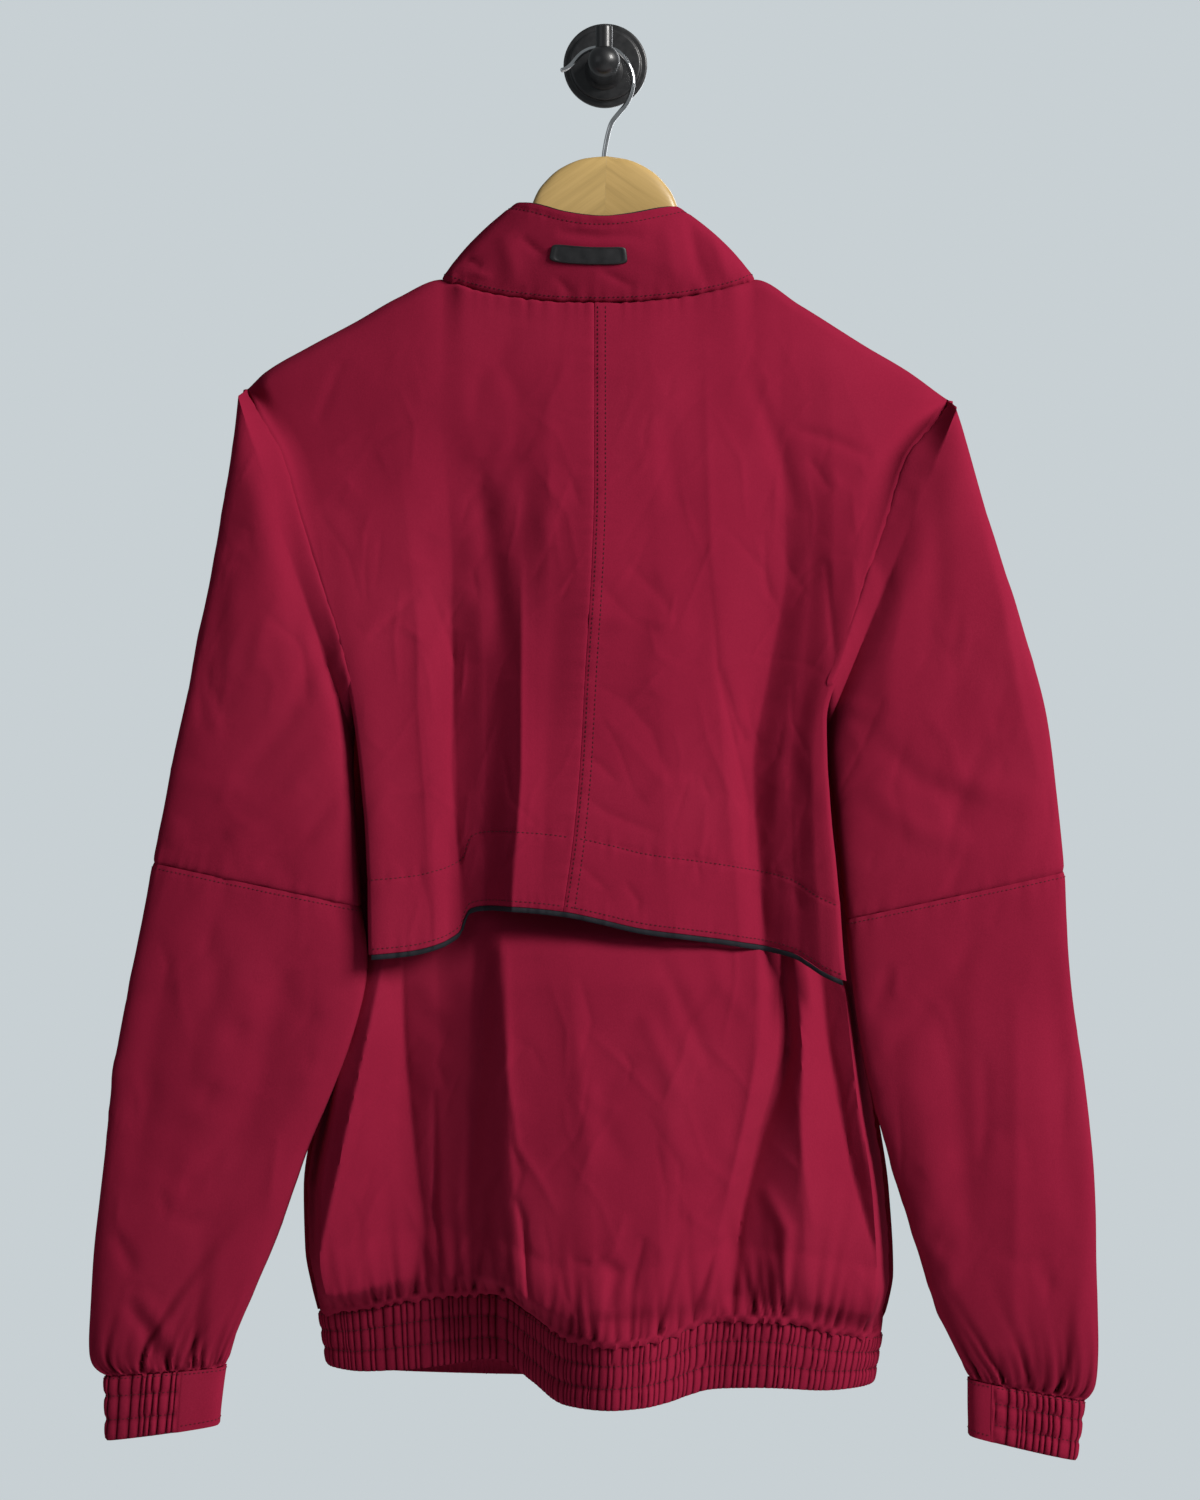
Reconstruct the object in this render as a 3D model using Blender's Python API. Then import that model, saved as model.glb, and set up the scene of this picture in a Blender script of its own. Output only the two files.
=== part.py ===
"""A windbreaker hanging on a wooden hanger and a wall hook, seen from its back.

Frame: the origin is the middle of the wall plate's back face. X runs to the viewer's right, Z runs
up, and the wall is the plane Y = 0. The whole object lies in front of it, at Y below 0, with its back
to the viewer at -Y. Every size below is in millimetres, and the meshes are made in metres.
"""

from math import cos, pi, radians, sin
from typing import NamedTuple

import bmesh
import bpy
import numpy as np
from mathutils import Matrix

MM = 0.001
GAP = 0.3  # between pieces at a seam
CLOTH = 1.2  # one layer of shell cloth with its seam allowance
BAND_WALL = 2.6  # two layers of cloth over elastic
PLAIN_WALL = 1.8  # two layers of cloth
FACING = 1.0

# Wall hook. Its arm stands out from the wall along -Y.
PLATE_RADIUS, PLATE_STEP_RADIUS = 27.5, 23.3
PLATE_DEPTH, PLATE_STEP = 8.0, 4.4
ARM_RADIUS, ARM_FLARE = 9.9, 12.5
BALL_RADIUS, BALL_Y = 10.3, -42.0
PEG_RADIUS, PEG_TOP = 5.5, 18.0
HOOK_X, HOOK_Z = -0.9, -4.5

# Hanger: two wooden halves glued in the middle, and a wire hook in a bore on the joint.
WIRE_RADIUS = 1.5
BORE_RADIUS, BORE_DEPTH = 1.85, 12.0
HANGER_X, HANGER_Y, HUMP_TOP = -0.9, -27.0, -63.4
HUMP_RADIUS = 54.0
HANGER_TILT = radians(1.7)
HANGER_SQUARE = 0.85  # below 1, a section is squarer than an ellipse

# Garment
CENTRE_FRONT, FRONT_Y = -5.0, -12.0  # the zip's middle, and the outer face of the fronts there
FRONT_EDGE = 4.6  # from the zip's middle to the edge of a front
PLACKET = 16.0  # flat cloth on each side of the zip
PLACKET_EASE = 30.0  # the fronts' folds grow over this width beside the flat cloth
NECK_LEFT, NECK_RIGHT = -106.0, 97.0  # x where the shoulders meet the collar
UNDERARM_Z = -432.0
HANG = 40.0  # below its top edge, cloth takes this far to reach its hanging shape
FOLD_START = 60.0  # and this far to take its folds
FOLD_ONSET = 80.0  # a fold that starts lower down grows over this height
EDGE_TURN = 32.0  # the width over which the back and fronts turn in at a side edge
SHOULDER_ROLL, NECK_ROLL = 9.0, 1.0  # radii at the fronts' top edges
ROLL_ROWS = (0.0, 0.8, 2.6, 5.4, 9.0)  # rows of cloth this far below a shoulder, where it turns over
SIDE_INSET = 2.5  # the lower back's edges lie this far inside the fronts' edges
SEAM_FRONT = 2.8  # the fronts lie this far wallward of the back at a side seam
SEAM_SLEEVE = 2.0  # an armhole's sleeve starts this far outside the edge of the body
BINDING_WIDTH, BINDING_WALL = 3.2, 1.8
BAND_GAP = 1.0  # above the waistband, whose edge is cut straighter than the curve it follows
BAND_TAPER = 0.03  # the waistband draws in by this share at its lower edge
GATHER = 30.0  # the back narrows into the waistband's path over this height
BLOUSE, BLOUSE_HEIGHT = 5.0, 44.0  # how far the gathered back stands out above the waistband
SLEEVE_POINTS = 18  # round a sleeve
SLEEVE_SQUARE_BACK, SLEEVE_SQUARE_WALL = 0.75, 1.2  # below 1 a sleeve's section is boxy, above 1 pointed
PLAIN_LEFT, PLAIN_RIGHT = radians(72), radians(50)  # half of the angle that a cuff's plain part takes
CUFF_SEAM = 0.008  # radians: half of the gap between a cuff's two parts

# Zip
ZIP_TOP, ZIP_LOW = -127.5, -853.0
CHAIN_WIDTH, CHAIN_DEPTH = 5.4, 3.4
TAPE_WIDTH, TAPE_WALL = 11.0, 1.0
TAPE_Y = FRONT_Y - BAND_WALL - 3 * GAP  # the tapes' wallward face
SLIDER_HALF, SLIDER_WALL = 4.2, 1.6
PULL_Z = ZIP_TOP - 3.4  # the pull's hinge
PULL_LENGTH, PULL_HALF, PULL_WALL = 25.0, 4.0, 1.3
PULL_WINDOW, PULL_WINDOW_HALF = 6.3, 2.3

BURGUNDY = (0.300, 0.018, 0.052)
BLACK = (0.012, 0.014, 0.022)


def table(names, rows):
    """A short table as one array for each named column."""
    return {name: np.array(column, float) for name, column in zip(names.split(), zip(*rows))}


# The cape's top edge: shoulder, neck seam, shoulder. roll is the radius that it turns over on the hanger.
TOP_EDGE = table(
    "x z y roll",
    [(-232, -215, -27, 6), (-221, -204, -27, 9), (-192, -187, -27, 9), (-162, -171, -27, 9),
     (-134, -155, -27, 9), (-106, -143.5, -27, 8), (-91, -149.5, -38.5, 3), (-67, -155.5, -42, 2),
     (-34, -160, -45.5, 2), (-5, -161, -46.5, 2), (24, -160, -45.5, 2), (57, -155.5, -42, 2),
     (82, -149.5, -38.5, 3), (97, -143.5, -27, 8), (126, -160, -27, 9), (169, -187, -27, 9),
     (196, -203, -27, 9), (222, -222, -27, 6)],
)
NECK_FRONT = table(
    "x z y",
    [(-106, -144, -26), (-101, -149, -18.5), (-91, -157.5, -16.5), (-67, -170.5, -15),
     (-34, -181.5, -13.2), (-9.6, -185.5, -12), (-0.4, -185.5, -12), (24, -181.5, -13.2),
     (57, -170.5, -15), (82, -157.5, -16.5), (92, -149, -18.5), (97, -144, -26)],
)
# The back's side edges: the armhole down to the underarm, then the free side of the cape.
CAPE_LEFT = table(
    "z x y",
    [(-215, -232, -27), (-259, -206, -44), (-298, -194, -49), (-346, -179, -51), (-385, -167, -51),
     (-430, -158, -50), (-481, -152, -58), (-526, -149, -64), (-580, -147.5, -69)],
)
CAPE_RIGHT = table(
    "z x y",
    [(-222, 222, -27), (-262, 191, -44), (-300, 178, -49), (-346, 163, -51), (-385, 151, -51),
     (-430, 138, -50), (-481, 140, -58), (-526, 144, -64), (-595, 149, -69)],
)
BACK_SEAM = table(
    "z x",
    [(-143, -7), (-280, -7), (-330, -8.5), (-405, -13), (-460, -16), (-503, -20), (-560, -28)],
)
CAPE_FACE = table(
    "z y",
    [(-143, -46), (-200, -60), (-300, -74), (-400, -82), (-480, -88), (-600, -94)],
)
CAPE_HEM = table(
    "x z",
    [(-148, -578), (-122, -575), (-104, -570), (-93, -563), (-87, -551), (-71, -547), (-57, -547.5),
     (-28, -550.5), (-5, -555), (24, -561.5), (58, -566), (82, -569.5), (119, -577), (137, -588),
     (150, -594)],
)
# The fronts' side edges: the armhole, then the side seam, which the lower back shares.
SIDE_LEFT = table(
    "z x y",
    [(-215, -231, -26), (-260, -209, -18), (-340, -186, -17), (-400, -167, -28), (-430, -162, -38),
     (-480, -168, -29), (-580, -178, -22), (-680, -189, -18), (-735, -197, -17), (-775, -196, -17),
     (-800, -191, -21), (-813, -187, -26)],
)
SIDE_RIGHT = table(
    "z x y",
    [(-222, 221, -26), (-262, 197, -18), (-340, 172, -17), (-400, 150, -28), (-430, 142, -38),
     (-480, 152, -29), (-580, 165, -22), (-680, 177, -18), (-735, 185, -17), (-790, 188, -17),
     (-810, 184, -22), (-826, 178, -28)],
)
LOWER_TOP = -437.0
LOWER_FACE = table(
    "z y",
    [(-437, -50), (-500, -60), (-560, -68), (-600, -79), (-680, -85), (-760, -88), (-795, -86),
     (-815, -80)],
)
# The waistband's path from the zip round the back to the zip, and its upper and lower edges.
BAND = table(
    "x y top low",
    [(-9.6, -12, -813, -857), (-60, -12, -813, -857), (-130, -13, -813, -855), (-170, -16, -813, -852),
     (-186, -26, -813, -848), (-182, -40, -812, -848), (-162, -50, -809, -849), (-127, -58, -801, -846),
     (-105, -60, -798, -843), (-81, -56, -798, -840), (-67, -53, -800, -842), (-50, -66, -809, -852),
     (-34, -86, -817, -861), (-20, -100, -820, -863), (2, -112, -821, -863), (25, -108, -819, -862),
     (42, -98, -816.5, -860), (56, -88, -811.5, -857), (72, -82, -809, -854.5), (107, -82, -810, -854),
     (142, -74, -818, -857), (164, -60, -823, -858), (177, -44, -826, -858), (179, -28, -826, -858),
     (160, -16, -822, -857), (110, -13, -816, -857), (50, -12, -813, -857), (-0.4, -12, -813, -857)],
)
BAND_BACK = slice(4, 24)  # the rows of BAND that run across the back

# The collar from the zip round the back to the zip: its neck seam and its top edge.
COLLAR = table(
    "neck_x neck_y neck_z top_x top_y top_z",
    [(-9.6, -12, -184.6, -9.6, -12, -124), (-34, -13.2, -180.6, -24, -13.2, -121),
     (-67, -15, -169.6, -40, -15.5, -112), (-91, -16.5, -156.6, -51, -18, -103),
     (-102, -18.5, -148, -56, -22, -98), (-106, -28, -142.8, -57.5, -32, -95),
     (-102, -36.5, -144.5, -56, -40, -95), (-91, -39.5, -148.8, -52, -45, -95.5),
     (-67, -43, -154.8, -43, -50, -97.5), (-34, -46, -159.2, -25, -54.5, -103),
     (-5, -47, -160.2, -4, -56, -105.7), (24, -46, -159.2, 15, -54.5, -104),
     (57, -43, -154.8, 33, -50, -100), (82, -39.5, -148.8, 42, -45, -98),
     (93, -36.5, -144.5, 46, -40, -97.5), (97, -28, -142.8, 47, -32, -98),
     (93, -18.5, -148, 45.5, -22, -101), (82, -16.5, -156.6, 41, -18, -105),
     (57, -15, -169.6, 30, -15.5, -113), (24, -13.2, -180.6, 14, -13.2, -121),
     (-0.4, -12, -184.6, -0.4, -12, -124)],
)
COLLAR_BULGE = 3.5
COLLAR_AXIS = np.array((-5.0, -31.0, -135.0))  # a point inside the collar
LABEL_FROM, LABEL_TO = 8.78, 10.76  # along the collar, in rows of COLLAR
LABEL_LOW, LABEL_HIGH = 0.39, 0.59  # share of the collar's height
LABEL_WALL = 1.5

# Rings of a sleeve: its outer and inner points, and how near the viewer and the wall its middle comes.
RING = "outer_x outer_y outer_z inner_x inner_y inner_z back front"
UPPER_LEFT = table(
    RING,
    [(-235, -30, -222, -161, -54, -441, -79, -14), (-238, -36, -255, -161, -60, -456, -84, -14),
     (-245, -42, -301, -160.5, -64, -471, -86, -15), (-256.5, -46, -365, -159.5, -67, -488, -87, -16),
     (-266, -48, -413, -158.5, -69, -503, -87, -17), (-275, -49, -455, -157.5, -70, -519, -87, -18),
     (-282, -50, -492, -156.5, -71, -534, -87, -19), (-288, -50, -520, -155.7, -72, -548, -87, -20)],
)
LOWER_LEFT = table(
    RING,
    [(-288, -50, -520.4, -155.7, -72, -548.4, -87, -20), (-298, -50, -574, -151.5, -73, -579, -88, -21),
     (-305, -50, -607, -153.5, -73, -604, -88, -22), (-313, -50, -655, -164, -70, -641, -88, -22),
     (-318, -50, -703, -178, -66, -676, -87, -22), (-322, -50, -735, -191, -62, -706, -86, -22),
     (-326, -50, -767, -207, -58, -752, -84, -22), (-328.5, -50, -799, -219, -54, -782, -81, -22),
     (-330.5, -50, -828, -231, -50, -810, -76, -24), (-329, -50, -842, -239, -50, -830, -70, -29),
     (-322, -50, -849.6, -243.5, -50, -843.6, -66, -34)],
)
CUFF_LEFT = table(
    RING,
    [(-322, -50, -850, -243.5, -50, -844, -66, -34), (-321.5, -50, -870, -246, -50, -863, -67, -33),
     (-321, -50, -891, -248, -50, -881, -67.5, -32.5)],
)
UPPER_RIGHT = table(
    RING,
    [(224.5, -30, -229, 139.5, -54, -439, -79, -14), (232, -36, -258, 141, -60, -452, -84, -14),
     (241, -42, -292, 143, -64, -466, -86, -15), (253, -46, -333, 145, -67, -481, -87, -16),
     (265.5, -48, -373, 147, -69, -499, -87, -17), (279, -49, -421, 149, -70, -518, -87, -18),
     (286, -50, -470, 151, -71, -538, -87, -19), (292, -50, -526, 153, -72, -556, -87, -20)],
)
LOWER_RIGHT = table(
    RING,
    [(292, -50, -526.4, 153, -72, -556.4, -87, -20), (294, -50, -574, 156, -73, -590, -88, -21),
     (298, -50, -615, 160, -72, -622, -88, -22), (304, -50, -655, 166, -70, -655, -88, -22),
     (309.5, -50, -703, 175, -67, -690, -87, -22), (312, -50, -740, 184, -64, -722, -86, -22),
     (313, -50, -775, 196, -60, -758, -84, -22), (314.5, -50, -808, 208, -56, -795, -81, -22),
     (315.5, -50, -836, 220, -52, -824, -76, -24), (314, -50, -856, 229, -50, -841, -70, -29),
     (308.5, -50, -865.6, 233, -50, -851.6, -66, -34)],
)
CUFF_RIGHT = table(
    RING,
    [(308.5, -50, -866, 233, -50, -852, -66, -34), (306, -50, -885, 233, -50, -870, -67, -33),
     (303, -50, -904, 233.5, -50, -888, -67.5, -32.5)],
)
# The wire hook's middle line in the hanger's plane, from its tip over the arm to the bore.
WIRE = table(
    "x z",
    [(-28, -7.5), (-25, -6.4), (-21.5, -3.4), (-17.8, 1), (-14, 4.2), (-8.7, 6.4), (-0.9, 7.2), (7.2, 5),
     (12.8, -0.6), (16.6, -7.5), (17.9, -14.5), (17, -21.7), (14, -28.9), (8.8, -35.4), (4.3, -41.2),
     (2, -47.7), (0.2, -56), (-0.9, -64), (-0.9, -74)],
)
# A half of the hanger, at distances out from its middle.
HANGER = table(
    "out top height y depth",
    [(0.15, 0, 50, 0, 12), (16, -2.4, 49, 0, 12), (30, -9.1, 45, 0, 12), (39, -17.5, 40, 0, 12),
     (42.5, -29, 35, 0, 12), (46, -43, 28, 0, 12), (57, -57, 26, 0, 12), (76, -68, 28, 0, 12),
     (100, -86.5, 31, 0, 11.6), (130, -100, 30, 0, 11.2), (160, -117, 28, 0.4, 10.8),
     (187, -132.5, 26, 0.8, 10.2), (202, -143, 22, 1, 9.4), (209, -150.5, 13, 1, 8)],
)


class Fold(NamedTuple):
    """A soft ridge (rise above 0) or trough (below 0) along a line down the back, reach to each side."""

    x_top: float
    z_top: float
    x_low: float
    z_low: float
    reach: float
    rise_top: float
    rise_low: float


CAPE_FOLDS = [
    Fold(-125, -230, -122, -600, 26, 1, 8),
    Fold(-88, -330, -90, -600, 13, 0, -17),
    Fold(-30, -300, -8, -600, 45, 2, 12),
    Fold(-55, -215, -62, -470, 16, -3, -2),
    Fold(66, -170, 72, -600, 26, 4, 5),
    Fold(44, -190, 50, -420, 16, -4, 0),
    Fold(141, -290, 128, -600, 15, -5, -15),
    Fold(163, -270, 150, -430, 10, 6, 5),
]
LOWER_FOLDS = [
    Fold(-138, -580, -180, -800, 12, 7, 8),
    Fold(-127, -560, -118, -760, 15, -5, -10),
    Fold(10, -560, 4, -820, 45, 3, 14),
    Fold(117, -570, 84, -815, 15, -12, -12),
    Fold(126, -570, 116, -815, 13, 7, 8),
    Fold(143, -570, 174, -790, 11, -14, -10),
    Fold(-56, -715, -49, -812, 7, -2, -8),
]
# Right of this line the back stands further out, behind a side wall as wide as twice its reach.
LOWER_STEP = Fold(-74, -560, -66, -812, 12, 8, 22)
FRONT_FOLDS = [
    Fold(-120, -240, -110, -800, 30, -3, -4),
    Fold(-58, -300, -66, -800, 24, 2.5, 4),
    Fold(52, -300, 60, -800, 26, -3, -4),
    Fold(112, -260, 118, -800, 24, 2.5, 4),
]


def smooth(at, knots, values):
    """A curve through the knots that never overshoots them."""
    order = np.argsort(knots)
    x, y = knots[order], values[order]
    step = np.diff(x)
    rise = np.diff(y) / step
    product = rise[:-1] * rise[1:]
    inner = np.where(product > 0, 2 * product / np.where(product > 0, rise[:-1] + rise[1:], 1), 0)
    slope = np.concatenate([rise[:1], inner, rise[-1:]])
    at = np.clip(at, x[0], x[-1])
    i = np.clip(np.searchsorted(x, at) - 1, 0, len(step) - 1)
    t = (at - x[i]) / step[i]
    start = (1 + 2 * t) * (1 - t) ** 2 * y[i] + t * (1 - t) ** 2 * step[i] * slope[i]
    return start + t * t * (3 - 2 * t) * y[i + 1] + t * t * (t - 1) * step[i] * slope[i + 1]


def read(rows, column, at):
    """A table's column at a value of its first column."""
    return smooth(at, next(iter(rows.values())), rows[column])


def along(rows, at):
    """Every column of a table at row numbers, which may lie between rows, as an array (len(at), columns)."""
    columns = np.stack(list(rows.values()), axis=1)
    count = len(columns)
    i = np.clip(np.floor(at).astype(int), 0, count - 2)
    t = (at - i)[:, None]
    before, after = columns[np.maximum(i - 1, 0)], columns[np.minimum(i + 2, count - 1)]
    a, b = columns[i], columns[i + 1]
    bend = 2 * before - 5 * a + 4 * b - after
    twist = 3 * a - before - 3 * b + after
    return 0.5 * (2 * a + (b - before) * t + bend * t**2 + twist * t**3)


def folded(x, z, folds):
    """How far the folds bring the cloth out at (x, z)."""
    out = np.zeros_like(x)
    for fold in folds:
        t = np.clip((fold.z_top - z) / (fold.z_top - fold.z_low), 0, 1)
        line = fold.x_top + (fold.x_low - fold.x_top) * t
        rise = fold.rise_top + (fold.rise_low - fold.rise_top) * t
        begun = np.clip((fold.z_top + FOLD_ONSET / 2 - z) / FOLD_ONSET, 0, 1)
        out += rise * begun * np.exp(-(((x - line) / fold.reach) ** 2))
    return out


def stepped(x, z, step):
    """How far the side wall of a step brings the cloth out at (x, z)."""
    t = np.clip((step.z_top - z) / (step.z_top - step.z_low), 0, 1)
    line = step.x_top + (step.x_low - step.x_top) * t
    rise = step.rise_top + (step.rise_low - step.rise_top) * t
    return rise * (0.5 + 0.5 * np.tanh((x - line) / step.reach))


def eased(t):
    """0 to 1 with a soft start and end."""
    t = np.clip(t, 0, 1)
    return t * t * (3 - 2 * t)


def turned(distance, turn, power=2.0):
    """0 at a side edge to 1 where the cloth faces straight out."""
    return 1 - (1 - np.clip(distance / turn, 0, 1)) ** power


def rolled(below, radius):
    """How far cloth has come out this far below a rounded edge of that radius."""
    down = np.minimum(below, radius)
    return np.sqrt(np.maximum(radius**2 - (radius - down) ** 2, 0))


# ---------------------------------------------------------------- materials and meshes


def material(name, colour, roughness, metallic=0.0):
    made = bpy.data.materials.new(name)
    made.use_nodes = True
    shader = made.node_tree.nodes["Principled BSDF"]
    shader.inputs["Base Color"].default_value = (*colour, 1)
    shader.inputs["Roughness"].default_value = roughness
    shader.inputs["Metallic"].default_value = metallic
    return made


def linked(name, mesh, finish):
    """An object of the scene from a mesh, shaded smooth between its sharp edges."""
    mesh.shade_smooth()
    mesh.set_sharp_from_angle(angle=pi / 4)
    mesh.materials.append(finish)
    made = bpy.data.objects.new(name, mesh)
    bpy.context.scene.collection.objects.link(made)
    return made


def solid(name, vertices, faces, finish):
    """A closed mesh from points in millimetres, its faces turned outward."""
    mesh = bpy.data.meshes.new(name)
    mesh.from_pydata((np.asarray(vertices) * MM).tolist(), [], faces)
    editor = bmesh.new()
    editor.from_mesh(mesh)
    bmesh.ops.recalc_face_normals(editor, faces=editor.faces)
    editor.to_mesh(mesh)
    editor.free()
    return linked(name, mesh, finish)


def quads(rows, columns, first=0, around=False):
    """Faces of a grid of points that are numbered from first."""
    faces = []
    for r in range(rows - 1):
        for c in range(columns if around else columns - 1):
            right = (c + 1) % columns
            here, below = first + r * columns, first + (r + 1) * columns
            faces.append([here + c, here + right, below + right, below + c])
    return faces


def inward(face, inside, around=False):
    """Unit vectors into the cloth at each point of a face, on the side where inside lies."""
    if around:
        across = np.roll(face, -1, axis=1) - np.roll(face, 1, axis=1)
    else:
        across = np.gradient(face, axis=1)
    normal = np.cross(across, np.gradient(face, axis=0))
    normal /= np.maximum(np.linalg.norm(normal, axis=2, keepdims=True), 1e-9)
    return normal * np.sign(np.sum(normal * (inside - face)))


def shell(name, face, wall, inside, finish, around=False):
    """Cloth: an outer face (rows, columns, xyz), an inner face one wall in, and the rims between them."""
    rows, columns = face.shape[:2]
    inner = face + inward(face, np.asarray(inside, float), around) * wall
    total = rows * columns
    faces = quads(rows, columns, 0, around) + quads(rows, columns, total, around)
    last = (rows - 1) * columns
    for c in range(columns if around else columns - 1):
        right = (c + 1) % columns
        faces += [[i + c, i + right, i + right + total, i + c + total] for i in (0, last)]
    if not around:
        for r in range(rows - 1):
            a, b = r * columns, (r + 1) * columns
            faces += [[a + e, b + e, b + e + total, a + e + total] for e in (0, columns - 1)]
    return solid(name, np.concatenate([face.reshape(-1, 3), inner.reshape(-1, 3)]), faces, finish)


def lofted(name, sections, finish):
    """A solid through closed sections (sections, points, xyz), with a flat cap at each end."""
    count, points = sections.shape[:2]
    faces = quads(count, points, around=True)
    faces += [list(range(points)), list(range((count - 1) * points, count * points))]
    return solid(name, sections.reshape(-1, 3), faces, finish)


def lathed(name, profile, finish, axis, sides):
    """A solid turned about a line toward the wall, at axis (x, z), from (y, radius) points."""
    angles = np.arange(sides) * 2 * pi / sides
    made = []
    for y, radius in profile:
        x = axis[0] + radius * np.cos(angles)
        z = axis[1] + radius * np.sin(angles)
        made.append(np.stack([x, np.full(sides, y), z], axis=1))
    return lofted(name, np.array(made), finish)


def cut(target, cutter, operation="DIFFERENCE"):
    """Cut a solid by a helper, or join the helper to it, and hide the helper."""
    modifier = target.modifiers.new(cutter.name, "BOOLEAN")
    modifier.operation = operation
    modifier.object = cutter
    modifier.solver = "EXACT"
    cutter.hide_render = True
    cutter.display_type = "WIRE"


# ---------------------------------------------------------------- body


def hanging(top_z, low_z, rows):
    """Heights of a hanging piece: close rows where it turns over at its top, then rows down to low_z."""
    turn = ROLL_ROWS[-1]
    roll = np.array(ROLL_ROWS)[:, None] + 0 * top_z
    return np.concatenate([roll, turn + (top_z - low_z - turn) * np.linspace(0, 1, rows)[1:, None]])


def cape_half(name, side, finish, columns=13, rows=12):
    """The cape left (side -1) or right (side 1) of the back seam. It returns the outer face."""
    edge = CAPE_LEFT if side < 0 else CAPE_RIGHT
    across = np.linspace(0, 1, columns)
    edge_top, seam_top = edge["x"][0], BACK_SEAM["x"][0]
    top_x = edge_top + (seam_top - edge_top) * across
    low_x = edge["x"][-1] + (BACK_SEAM["x"][-1] - edge["x"][-1]) * across
    top_z, low_z = read(TOP_EDGE, "z", top_x), read(CAPE_HEM, "z", low_x)
    below = hanging(top_z, low_z, rows)
    z = top_z - below
    edge_x, edge_y = read(edge, "x", z), read(edge, "y", z)
    x = edge_x + (read(BACK_SEAM, "x", z) + side * GAP / 2 - edge_x) * across
    start = read(TOP_EDGE, "y", top_x) - rolled(below, read(TOP_EDGE, "roll", top_x))
    hung = start + np.minimum(read(CAPE_FACE, "y", z) - start, 0) * (1 - np.exp(-below / HANG))
    hung -= folded(x, z, CAPE_FOLDS) * (1 - np.exp(-below / FOLD_START))
    y = edge_y + (hung - edge_y) * turned(np.abs(x - edge_x), EDGE_TURN)
    face = np.stack([x, y, z], axis=2)
    shell(name, face, CLOTH, (0, 0, -400), finish)
    return face


def cape_binding(left, right, finish):
    """The folded tape below the cape's hem, from one side to the other."""
    seam = (left[-1, -1:] + right[-1, -1:]) / 2
    hem = np.concatenate([left[-1, :-1], seam, right[-1, -2::-1]])
    outer = hem + (0, -GAP, -GAP)
    face = np.stack([outer, outer - (0, 0, BINDING_WIDTH)])
    shell("cape_binding", face, BINDING_WALL, (0, 0, -400), finish)


def lower_back(finish, columns=30, rows=14):
    """The back between the cape and the waistband. Its upper end lies under the cape."""
    band = {name: values[BAND_BACK] for name, values in BAND.items()}
    across = np.linspace(0, 1, columns)
    low_x = SIDE_LEFT["x"][-1] + (SIDE_RIGHT["x"][-1] - SIDE_LEFT["x"][-1]) * across
    low_z = smooth(low_x, band["x"][:-1], band["top"][:-1]) + BAND_GAP
    z = LOWER_TOP + (low_z - LOWER_TOP) * np.linspace(0, 1, rows)[:, None] ** 0.9
    left, right = read(SIDE_LEFT, "x", z) + SIDE_INSET, read(SIDE_RIGHT, "x", z) - SIDE_INSET
    x = left + (right - left) * across
    edge_y = read(SIDE_LEFT, "y", z) * (1 - across) + read(SIDE_RIGHT, "y", z) * across
    shown = eased((-575 - z) / 45)
    wide = 58 - 26 * eased((-560 - z) / 70)
    out = folded(x, z, LOWER_FOLDS) + stepped(x, z, LOWER_STEP) - 12
    hung = read(LOWER_FACE, "y", z) - out * shown
    y = edge_y + (hung - edge_y) * turned(x - left, wide, 1.25) * turned(right - x, wide, 1.25)
    band_y = smooth(x, band["x"][:-1], band["y"][:-1]) - 2
    above = z - low_z
    bloused = BLOUSE * np.sin(pi * np.clip(above / BLOUSE_HEIGHT, 0, 1)) * turned(x - left, EDGE_TURN)
    y = band_y + (y - band_y) * eased(above / GATHER) - bloused
    shell("back_lower", np.stack([x, y, z], axis=2), CLOTH, (0, 0, -600), finish)


def front(name, side, finish, columns=8, shoulder_columns=4, rows=15):
    """A front from its shoulder and neck to the waistband, left or right of the zip as the viewer sees it."""
    edge = SIDE_LEFT if side < 0 else SIDE_RIGHT
    middle = CENTRE_FRONT + side * FRONT_EDGE
    neck = NECK_RIGHT if side > 0 else NECK_LEFT
    shoulder_x = np.linspace(edge["x"][0], neck, shoulder_columns)
    top_x = np.concatenate([shoulder_x, np.linspace(neck, middle, columns)[1:]])
    across = (top_x - edge["x"][0]) / (middle - edge["x"][0])
    on_shoulder = np.abs(top_x - middle) >= abs(neck - middle)
    top_z = np.where(on_shoulder, read(TOP_EDGE, "z", top_x), read(NECK_FRONT, "z", top_x))
    top_y = np.where(on_shoulder, read(TOP_EDGE, "y", top_x) + 1.0, read(NECK_FRONT, "y", top_x))
    radius = np.where(on_shoulder, SHOULDER_ROLL, NECK_ROLL)
    low_z = np.full_like(top_x, BAND["top"][0] + GAP)
    low_z[0] = edge["z"][-1] + GAP
    below = hanging(top_z, low_z, rows)
    z = top_z - below
    edge_x, edge_y = read(edge, "x", z), read(edge, "y", z) + SEAM_FRONT
    x = edge_x + (middle - edge_x) * across
    start = top_y + rolled(below, radius)
    free = np.clip((np.abs(x - CENTRE_FRONT) - PLACKET) / PLACKET_EASE, 0, 1)
    free = free * (1 - np.exp(-below / FOLD_START)) * eased((z - low_z) / FOLD_START)
    hung = start + (FRONT_Y - start) * (1 - np.exp(-below / HANG))
    hung = hung + folded(x, z, FRONT_FOLDS) * free
    y = edge_y + (hung - edge_y) * turned(np.abs(x - edge_x), EDGE_TURN)
    shell(name, np.stack([x, y, z], axis=2), CLOTH, (0, -50, -500), finish)


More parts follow.
